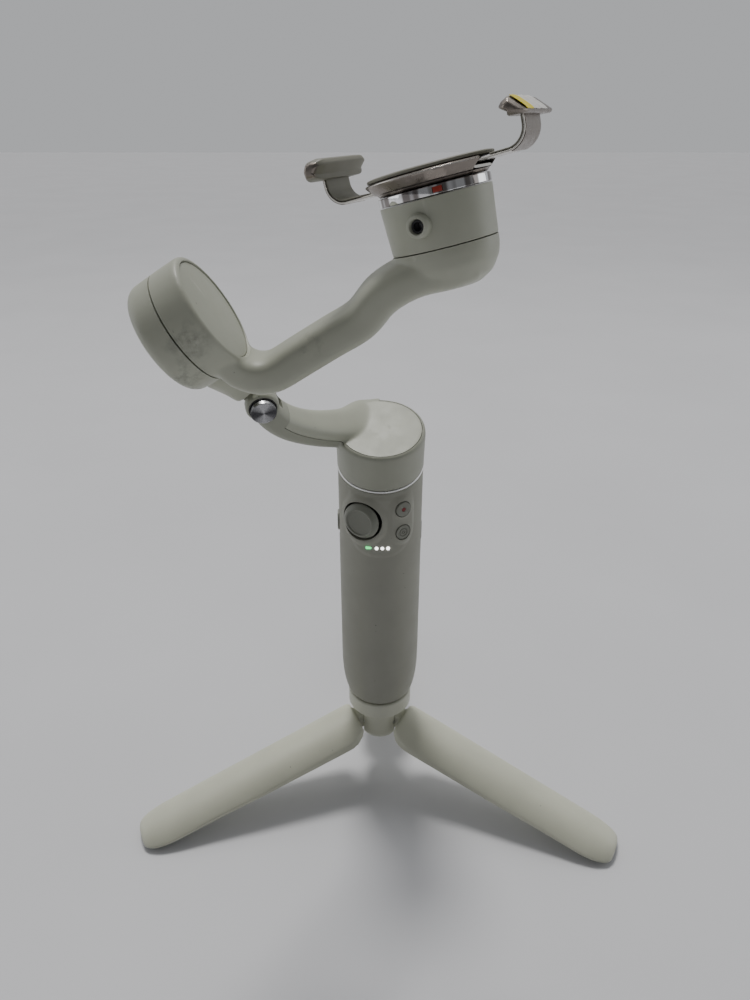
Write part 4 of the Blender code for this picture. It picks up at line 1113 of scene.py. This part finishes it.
def make_pan():
    drum = turned("drum", [(0.0, -5.0), (DRUM_R, -5.0), (DRUM_R, PAN_HIGH - 0.1, 1.3), (0.0, PAN_HIGH)], PAN)
    rings = []
    steps = 40
    for k in range(steps + 1):
        t = k / steps
        here, across, up = pan_arm_line(t)
        half_w, half_t = pan_arm_half(t)
        rings.append(oval(here, across, up, half_w, half_t, 3.4, 56))
    arm = skinned("arm", rings, PAN)
    barrel = disc("barrel", KNUCKLE_R, -HINGE_HALF_W, HINGE_HALF_W, FOLD, FINE, 0.8)
    body = melted("pan_lower_housing", [drum, arm, barrel])
    cut(body, disc("under", 40.0, -20.0, GAP, PAN))
    half = TONGUE_HALF_W + 0.35
    cut(body, disc("knuckle_slot", KNUCKLE_R + 2.4, -half, half, FOLD, FINE))
    cut(body, disc("knuckle_bore", PIN_R + GAP, -12.0, 12.0, FOLD, FINE))
    cut(body, disc("cap_seat", 5.45, HINGE_HALF_W - 1.4, 14.0, FOLD, FINE))
    cover = copy_of(body, "pan_top_cover_moulding")
    combine(cover, pan_seam_tool(0.0), "INTERSECT")
    cut(body, pan_seam_tool(0.32))
    cut(body, disc("pan_pocket", DRUM_R - 2.1, -2.0, 12.4, PAN))
    # The lower housing takes the darker copy of the shell paint, which is painted shade; the top cover keeps
    # the shell's own paint.
    settle(body, "pan_arm", "shell_painted_shade", "shell", "pan_arm_housing")
    settle(cover, "pan_arm", "shell", "shell", "pan_top_cover")
    make_hinge_pin()


def make_hinge_pin():
    """The hinge's pin with its spun face, standing out of a black seat."""
    top = HINGE_HALF_W + 2.6
    pin = turned("hinge_pin_turned", [
        (0.0, -HINGE_HALF_W), (PIN_R, -HINGE_HALF_W, 0.2), (PIN_R, HINGE_HALF_W - 1.0),
        (PIN_HEAD_R, HINGE_HALF_W - 1.0, 0.2), (PIN_HEAD_R, top, 0.35), (0.0, top)], FOLD)
    settle(pin, "pan_arm", "spun", "steel", "fold_pin")
    seat = ring("hinge_seat_washer", 5.05, 5.42, HINGE_HALF_W - 1.3, HINGE_HALF_W + 0.35, FOLD, 0.08, FINE)
    settle(seat, "pan_arm", "dark", "dark")


# ---------------------------------------------------------------- fold link and tilt drum

def link_rings():
    """Rings from just outside the hinge's knuckle into the side of the tilt drum's base."""
    to_fold = FOLD.inverted() @ TILT
    basis = to_fold.to_3x3()
    axis = basis @ UP
    drum = to_fold.translation / MM - axis * (TILT_BASE_H / 2.0 + 0.2)
    aim = (axis * drum.dot(axis) - drum).normalized()
    target = drum + aim * (TILT_R - 4.5)
    flat = Vector((target.x, target.y, 0.0)).normalized()
    begin = flat * (KNUCKLE_R + 2.0)
    drum_across = axis.cross(aim)
    if drum_across.z < 0.0:
        drum_across.negate()
    control = (begin, begin + flat * 5.0, target + aim * 6.0, target)
    rings = []
    steps = 24
    for k in range(steps + 1):
        t = k / steps
        here = bezier(control, t)
        along = (bezier(control, t + 0.02) - here).normalized()
        across = squared(UP.lerp(drum_across, smooth_step(0.1, 1.0, t)), along)
        half_w = HINGE_HALF_W + 3.0 * smooth_step(0.3, 1.0, t)
        half_t = 5.6 - 1.0 * smooth_step(0.3, 1.0, t)
        rings.append(oval(here, across, along.cross(across), half_w, half_t, 3.4))
    return rings


def make_link():
    low = -TILT_BASE_H
    drum = turned("drum", [(0.0, low), (TILT_R - 0.2, low, 4.2), (TILT_R, 5.0), (0.0, 5.0)], TILT)
    base = melted("tilt_base_moulding", [drum, skinned("link", link_rings(), FOLD)])
    cut(base, disc("gap_plane", 40.0, -GAP, 20.0, TILT))
    cut(base, disc("knuckle_room", KNUCKLE_R + 1.7, -20.0, 20.0, FOLD, FINE))
    tongue = disc("tongue", KNUCKLE_R - 0.5, -TONGUE_HALF_W, TONGUE_HALF_W, FOLD, FINE, 0.4)
    target = (FOLD.inverted() @ TILT).translation
    angle = math.degrees(math.atan2(target.y, target.x))
    bridge = box_piece("bridge", (0.0, -4.6, 0.1 - TONGUE_HALF_W), (12.0, 4.6, TONGUE_HALF_W - 0.1),
                       FOLD @ turn(angle, "Z"))
    combine(base, tongue, "UNION")
    combine(base, bridge, "UNION")
    cut(base, disc("link_bore", PIN_R + GAP, -12.0, 12.0, FOLD, FINE))
    cut(base, disc("arm_sweep", ARM_SWEEP_R, -GAP, 24.0, TILT))
    cut(base, disc("tilt_pocket", TILT_R - 2.3, low + 1.8, 6.0, TILT))
    settle(base, "fold_link", "shell", "shell", "tilt_base_shell")


# ---------------------------------------------------------------- tilt arm and roll drum

def arm_spine():
    """The tilt arm's middle line in the tilt frame: down the drum, round the elbow, out to the roll drum."""
    to_tilt = TILT.inverted() @ ROLL
    pad = (to_tilt @ Vector((0.0, 0.0, (ROLL_GAP - GAP - 6.4) * MM))) / MM
    out = to_tilt.to_3x3() @ Vector((1.0, 0.0, 0.0))
    mid = TILT_CAP_H / 2.0 + 0.2
    elbow = [(2.0, mid), (7.0, mid), (11.0, mid)]
    elbow += [(ARM_OFFSET - ELBOW_R + ELBOW_R * math.sin(a), mid + ELBOW_R - ELBOW_R * math.cos(a))
              for a in (math.radians(d) for d in (15, 35, 55, 75, 90))]
    bend = pad - out * 22.0
    straight = [(ARM_OFFSET, mid + s) for s in (19.0, 33.0, 45.0)]
    tail = [(bend.x * 0.55 + ARM_OFFSET * 0.45, bend.z - 2.0), (pad.x - out.x * 12.0, pad.z - out.z * 12.0)]
    tail += [(pad.x, pad.z), (pad.x + out.x * 8.0, pad.z + out.z * 8.0)]
    return [Vector((x, 0.0, z)) for x, z in elbow + straight + tail]


def between(values, at):
    """A smooth value between listed ones (Catmull-Rom), at a fractional index."""
    k = min(int(at), len(values) - 2)
    t = at - k
    a = values[max(k - 1, 0)]
    b = values[k]
    c = values[k + 1]
    d = values[min(k + 2, len(values) - 1)]
    return (b * 2.0 + (c - a) * t + (a * 2.0 - b * 5.0 + c * 4.0 - d) * t * t
            + (b * 3.0 - a - c * 3.0 + d) * t * t * t) * 0.5


def make_tilt_arm():
    spine = arm_spine()
    side = Vector((0.0, 1.0, 0.0))
    rings = []
    steps = 84
    last = len(spine) - 1
    for k in range(steps + 1):
        at = last * k / steps
        here = between(spine, at)
        along = (between(spine, min(at + 0.1, last)) - between(spine, max(at - 0.1, 0.0))).normalized()
        half_w = between(ARM_HALF_W, at)
        half_t = between(ARM_HALF_T, at)
        rings.append(oval(here, side, along.cross(side), half_w, half_t, 3.3, 64))
    arm = skinned("bar", rings, TILT)
    drum = turned("drum", [(0.0, -5.0), (TILT_R, -5.0), (TILT_R, TILT_CAP_H, 1.4), (0.0, TILT_CAP_H)], TILT)
    high = ROLL_GAP - GAP
    shoe = turned("shoe", [
        (0.0, high - 13.6), (9.0, high - 13.2, 4.0), (13.6, high - 10.4, 4.0), (16.4, high - 6.0, 4.0),
        (ROLL_LOW_R, high - 2.0, 3.0), (ROLL_LOW_R, high + 5.0), (0.0, high + 5.0)], ROLL)
    body = melted("tilt_arm_moulding", [arm, drum, shoe])
    cut(body, disc("roll_plane", 30.0, high, high + 20.0, ROLL))
    cut(body, disc("tilt_plane", 19.0, -20.0, GAP, TILT))
    cut(body, ring("elbow_room", 15.0, 42.0, -14.0, GAP, TILT, 0.0))
    cut(body, disc("tilt_recess", 17.5, -3.0, 2.7, TILT))
    cut(body, turned("face_recess", [(0.0, TILT_CAP_H - 1.3), (FACE_R + 0.3, TILT_CAP_H - 1.3),
                                     (FACE_R + 0.3, TILT_CAP_H - 0.4), (FACE_R + 0.9, TILT_CAP_H + 0.5, 0.5),
                                     (FACE_R + 0.9, TILT_CAP_H + 2.0), (0.0, TILT_CAP_H + 9.0)], TILT))
    mark = [spot(TILT, ARM_OFFSET + 7.2, y, 40.0 + 0.12 * y) for y in (-8.0, -7.0, -5.5, -4.0, -2.5)]
    groove(body, mark, 0.2)
    settle(body, "tilt_arm", "shell", "shell", "tilt_arm")
    face = turned("tilt_face_disc", [(0.0, TILT_CAP_H - 1.0), (FACE_R + 0.1, TILT_CAP_H - 1.0),
                                     (FACE_R + 0.1, TILT_CAP_H - 0.5, 0.3), (0.0, TILT_CAP_H - 0.4)], TILT)
    settle(face, "tilt_arm", "shell", "shell", "tilt_face_cover")


def make_roll_drum():
    socket = ROLL @ turn(-24.0, "Z") @ shift(0.0, 0.0, -10.5) @ turn(90.0, "X")
    drum = turned("roll_drum_moulding", [
        (0.0, ROLL_GAP), (ROLL_LOW_R, ROLL_GAP, 0.35), (ROLL_HIGH_R, ROLL_TOP, 0.3), (0.0, ROLL_TOP)], ROLL)
    boss = turned("boss", [(0.0, 13.0), (3.9, 13.0), (3.75, 17.6, 0.4), (3.5, 20.4, 1.0), (0.0, 20.4)],
                  socket, FINE)
    combine(drum, boss, "UNION")
    hole = turned("hole", [(0.0, 12.4), (2.1, 12.4), (2.1, 19.7), (2.5, 20.6), (0.0, 20.6)], socket, FINE)
    cut(drum, hole)
    cut(drum, disc("roll_pocket", ROLL_LOW_R - 2.0, -40.0, -9.4, ROLL))
    settle(drum, "roll_drum", "shell", "shell", "roll_drum_shell")
    sleeve = ring("socket_sleeve_turned", 1.35, 1.95, 14.6, 19.3, socket, 0.15, 48)
    settle(sleeve, "roll_drum", "dark", "dark", "side_socket_sleeve")
    bottom = disc("socket_floor", 1.3, 14.7, 15.2, socket, 48, 0.1)
    settle(bottom, "roll_drum", "steel", "steel")
    band = ring("mirror_mount_ring", 15.6, ROLL_HIGH_R, ROLL_TOP + 0.25, -0.35, ROLL, 0.3)
    cut(band, box_piece("notch", (-1.6, -21.4, -2.7), (1.6, -17.3, -0.7), ROLL, 0.0, 0.3))
    settle(band, "roll_drum", "chrome", "chrome", "mount_ring")
    marker = box_piece("mount_marker_inlay", (-1.4, -18.05, -2.5), (1.4, -17.5, -0.9), ROLL, 0.1, 0.05)
    settle(marker, "roll_drum", "red", "red", "mount_marker")
    magnet = turned("mount_magnet_plate", [
        (15.3, -3.0, 0.2), (15.3, -0.4, 0.3), (12.6, -0.4, 0.3), (12.2, -0.8, 0.2),
        (8.4, -0.8, 0.2), (8.0, -0.4, 0.3), (5.0, -0.4, 0.3), (5.0, -3.0, 0.2)], ROLL, closed=True)
    settle(magnet, "roll_drum", "magnet", "magnet", "mount_magnet")


# ---------------------------------------------------------------- clamp

def clamp_channel():
    """The way that the two sprung arms slide in, across the dish."""
    half = STRIP_HALF_W + GAP
    return box_piece("channel", (-30.0, -half, 0.9), (30.0, half, 10.0), CLAMP)


def make_clamp():
    base = turned("clamp_base_dish", [
        (0.0, 0.0), (17.2, 0.0, 0.3), (17.9, 0.8, 0.3), (18.6, 1.1, 0.3), (CLAMP_R - 0.3, 3.3, 0.2),
        (CLAMP_R, 3.7, 0.2), (CLAMP_R - 0.35, 4.25, 0.2), (0.0, 4.3)], CLAMP, CLAMP_SIDES)
    cut(base, clamp_channel())
    settle(base, "clamp", "metal", "metal", "clamp_base")
    lip = turned("clamp_rim_bright_line", [
        (CLAMP_R - 1.0, 3.72), (CLAMP_R + 0.05, 3.72, 0.08), (CLAMP_R + 0.02, 4.02, 0.1),
        (CLAMP_R - 1.0, 4.15)], CLAMP, CLAMP_SIDES, closed=True)
    cut(lip, clamp_channel())
    settle(lip, "clamp", "edge", "metal")
    pad = turned("clamp_pad_disc", [
        (0.0, 4.6), (CLAMP_R - 0.9, 4.6, 0.25), (CLAMP_R - 0.7, 5.5, 0.5), (CLAMP_R - 2.2, 5.8, 0.3),
        (CLAMP_R - 2.9, 5.65, 0.2), (0.0, 5.7)], CLAMP, CLAMP_SIDES)
    settle(pad, "clamp", "pad", "pad", "clamp_front_pad")
    make_jaw("left", 180.0, 1.2)
    make_jaw("right", 0.0, 2.85)


def strip_spine(mid, neck_top):
    """The strip's middle line: along the channel, round the bend and up to the jaw, as (x, z, slope)."""
    spine = [(x, mid, 0.0) for x in (-17.0, 0.0, 12.0, 22.0, 26.0)]
    for k in range(1, 19):
        degrees = 5.0 * k
        a = math.radians(degrees)
        spine.append((NECK_X + NECK_BEND * math.sin(a), mid + NECK_BEND * (1.0 - math.cos(a)), degrees))
    spine += [(NECK_X + NECK_BEND, z, 90.0) for z in (9.8, (9.8 + neck_top) / 2.0, neck_top)]
    return spine


def strip_layer(name, spine, low, high, half_w, place):
    """A layer of the strip between two offsets from its middle line."""
    rings = []
    for x, z, degrees in spine:
        a = math.radians(degrees)
        up = Vector((-math.sin(a), 0.0, math.cos(a)))
        centre = Vector((x, 0.0, z)) + up * ((low + high) / 2.0)
        rings.append(oval(centre, (0.0, -1.0, 0.0), up, half_w, (high - low) / 2.0, 6.0, 32))
    return skinned(name, rings, place)


def jaw_bar(name, section, grow, half_l, place):
    """A bar along Y with its own section, which shrinks at its rounded ends."""
    outline = soften(section, True, 5)
    middle = Vector((1.8, 2.6))
    rings = []
    steps = 40
    round_off = 4.4
    for k in range(steps + 1):
        y = -half_l * math.cos(math.pi * k / steps)
        near_end = max(0.0, (abs(y) - (half_l - round_off)) / round_off)
        share = 1.0 + grow / 2.6 - 0.62 * (1.0 - math.sqrt(max(0.0, 1.0 - near_end**2)))
        ring_points = []
        for corner in outline:
            x, z = middle + (Vector(corner) - middle) * share
            ring_points.append(Vector((JAW_X + x, y, JAW_LOW + z)))
        rings.append(ring_points)
    return skinned(name, rings, place)


def make_jaw(side, facing, strip_low):
    """One clamp arm: a steel strip with a soft lining, which bends up into a jaw of the same two layers."""
    place = CLAMP @ turn(facing, "Z")
    body = f"clamp_{side}"
    half_t = STRIP_T / 2.0
    spine = strip_spine(strip_low + half_t, NECK_TOPS[side])
    strip = strip_layer(f"{side}_strip_steel", spine, -half_t, 0.15, STRIP_HALF_W, place)
    cut(strip, box_piece("window", (-14.6, -4.2, 0.0), (3.6, 2.6, 4.6), place, 0.0, 0.6))
    settle(strip, body, "edge", "metal", f"clamp_arm_{side}")
    lining = strip_layer(f"{side}_strip_lining", spine[3:], 0.16, half_t + 0.1, STRIP_HALF_W - 0.45, place)
    settle(lining, body, "pad", "pad")
    cover = strip_layer(f"{side}_strip_cover", spine[6:], -half_t - 0.18, 0.02 - half_t,
                        STRIP_HALF_W - 0.35, place)
    settle(cover, body, "metal", "metal")
    shell = jaw_bar(f"{side}_jaw_steel_shell", JAW_SECTIONS[side], 0.0, JAW_HALF_L, place)
    settle(shell, body, "metal", "metal", f"clamp_jaw_{side}")
    grip = jaw_bar(f"{side}_jaw_grip", JAW_SECTIONS[side], 0.28, JAW_HALF_L - 0.55, place)
    settle(grip, body, "pad" if side == "left" else "metal", "pad")
    if side == "right":
        make_sticker(place, body)


def make_sticker(place, body):
    """A blank label on the sloping face of the right jaw, which curls a little at its edges."""
    rows = []
    half_l = 10.5
    low = Vector((JAW_X + 5.3, JAW_LOW + 1.5))
    high = Vector((JAW_X + 0.9, JAW_LOW + 6.1))
    out = Vector((0.72, 0.69))
    long_steps = 40
    high_steps = 16
    for k in range(long_steps + 1):
        y = -half_l - 3.0 + 2.0 * half_l * k / long_steps
        row = []
        for s in range(high_steps + 1):
            t = s / high_steps
            edge = max(0.0, abs(2.0 * t - 1.0) - 0.7)
            ripple = 0.42 - 0.5 * edge + 0.07 * math.sin(0.9 * y + 4.0 * t) + 0.04 * math.sin(2.3 * y)
            x, z = low.lerp(high, t) + out * ripple
            row.append(Vector((x, y, z)))
        rows.append(row)
    points = [p for row in rows for p in row]
    over = high_steps + 1
    corners = [r * over + s for r in range(long_steps) for s in range(high_steps)]
    faces = [(c, c + 1, c + over + 1, c + over) for c in corners]
    label = new_piece("blank_label", points, faces, place)
    thick = label.modifiers.new("paper", "SOLIDIFY")
    thick.thickness = 0.12 * MM
    freeze(label)
    settle(label, body, "sticker", "pad")


# ---------------------------------------------------------------- stage

def stage_look(name, colour, roughness):
    paint = Paint(name, roughness)
    paint.colour(paint.mix(paint.cloud(180.0), tint(colour, 0.97), tint(colour, 1.02)))
    paint.bump((paint.noise(1.6, 4.0), 0.02))
    return paint.material


def add_light(name, place, size, power, colour):
    """An area light at a place, aimed at the object."""
    data = bpy.data.lights.new(name, "AREA")
    data.shape = "RECTANGLE"
    data.size, data.size_y = size
    data.energy = power
    data.color = colour
    light = linked(name, data)
    light.location = place
    aim = Vector(LIGHTS_AIM) - Vector(place)
    light.rotation_euler = aim.to_track_quat("-Z", "Y").to_euler()


def add_sun(name, towards, angle, strength, colour):
    data = bpy.data.lights.new(name, "SUN")
    data.angle = math.radians(angle)
    data.energy = strength
    data.color = colour
    light = linked(name, data)
    light.rotation_euler = Vector(towards).to_track_quat("Z", "Y").to_euler()


def make_stage():
    work = bmesh.new()
    bmesh.ops.create_grid(work, x_segments=8, y_segments=8, size=FLOOR_HALF)
    mesh = bpy.data.meshes.new("floor")
    work.to_mesh(mesh)
    work.free()
    floor = linked("floor", mesh)
    mesh.materials.append(stage_look("pale_floor", (0.62, 0.62, 0.64), 0.6))
    add_sun("ceiling_key", (-0.12, 0.5, 1.2), 14.0, 1.6, WARM)
    add_light("overhead_softbox", (-0.15, 0.62, 1.3), (1.7, 0.9), 4.0, WARM)
    add_light("left_wall_bounce", (-1.3, 0.1, 0.5), (0.9, 0.9), 2.2, COOL)
    add_light("right_wall_bounce", (1.3, 0.2, 0.55), (0.9, 0.9), 3.0, COOL)
    make_world()


def make_world():
    """A pale room: brighter behind the object than in front of it."""
    world = bpy.data.worlds.new("studio")
    world.use_nodes = True
    nodes = world.node_tree.nodes
    links = world.node_tree.links
    place = nodes.new("ShaderNodeTexCoord")
    parts = nodes.new("ShaderNodeSeparateXYZ")
    depth = nodes.new("ShaderNodeMapRange")
    for socket, value in (("From Min", -0.5), ("From Max", 0.6), ("To Min", 0.16), ("To Max", 0.5)):
        depth.inputs[socket].default_value = value
    links.new(place.outputs["Generated"], parts.inputs["Vector"])
    links.new(parts.outputs["Y"], depth.inputs["Value"])
    links.new(depth.outputs["Result"], nodes["Background"].inputs["Strength"])
    nodes["Background"].inputs["Color"].default_value = (0.9, 0.915, 0.94, 1.0)
    bpy.context.scene.world = world


def make_camera():
    """Looks down at the object from in front, at the height of its head."""
    data = bpy.data.cameras.new("camera")
    data.sensor_width = 36.0
    data.lens = CAMERA_LENS
    data.clip_start = 0.01
    data.clip_end = 30.0
    camera = linked("camera", data)
    camera.location = CAMERA_AT
    camera.rotation_euler = (math.radians(CAMERA_PITCH), 0.0, 0.0)
    bpy.context.scene.camera = camera


make_camera()
make_stage()
paint_kept_nodes()
make_tripod()
make_handle()
make_rod()
make_pan()
make_link()
make_tilt_arm()
make_roll_drum()
make_clamp()
bpy.context.view_layer.update()
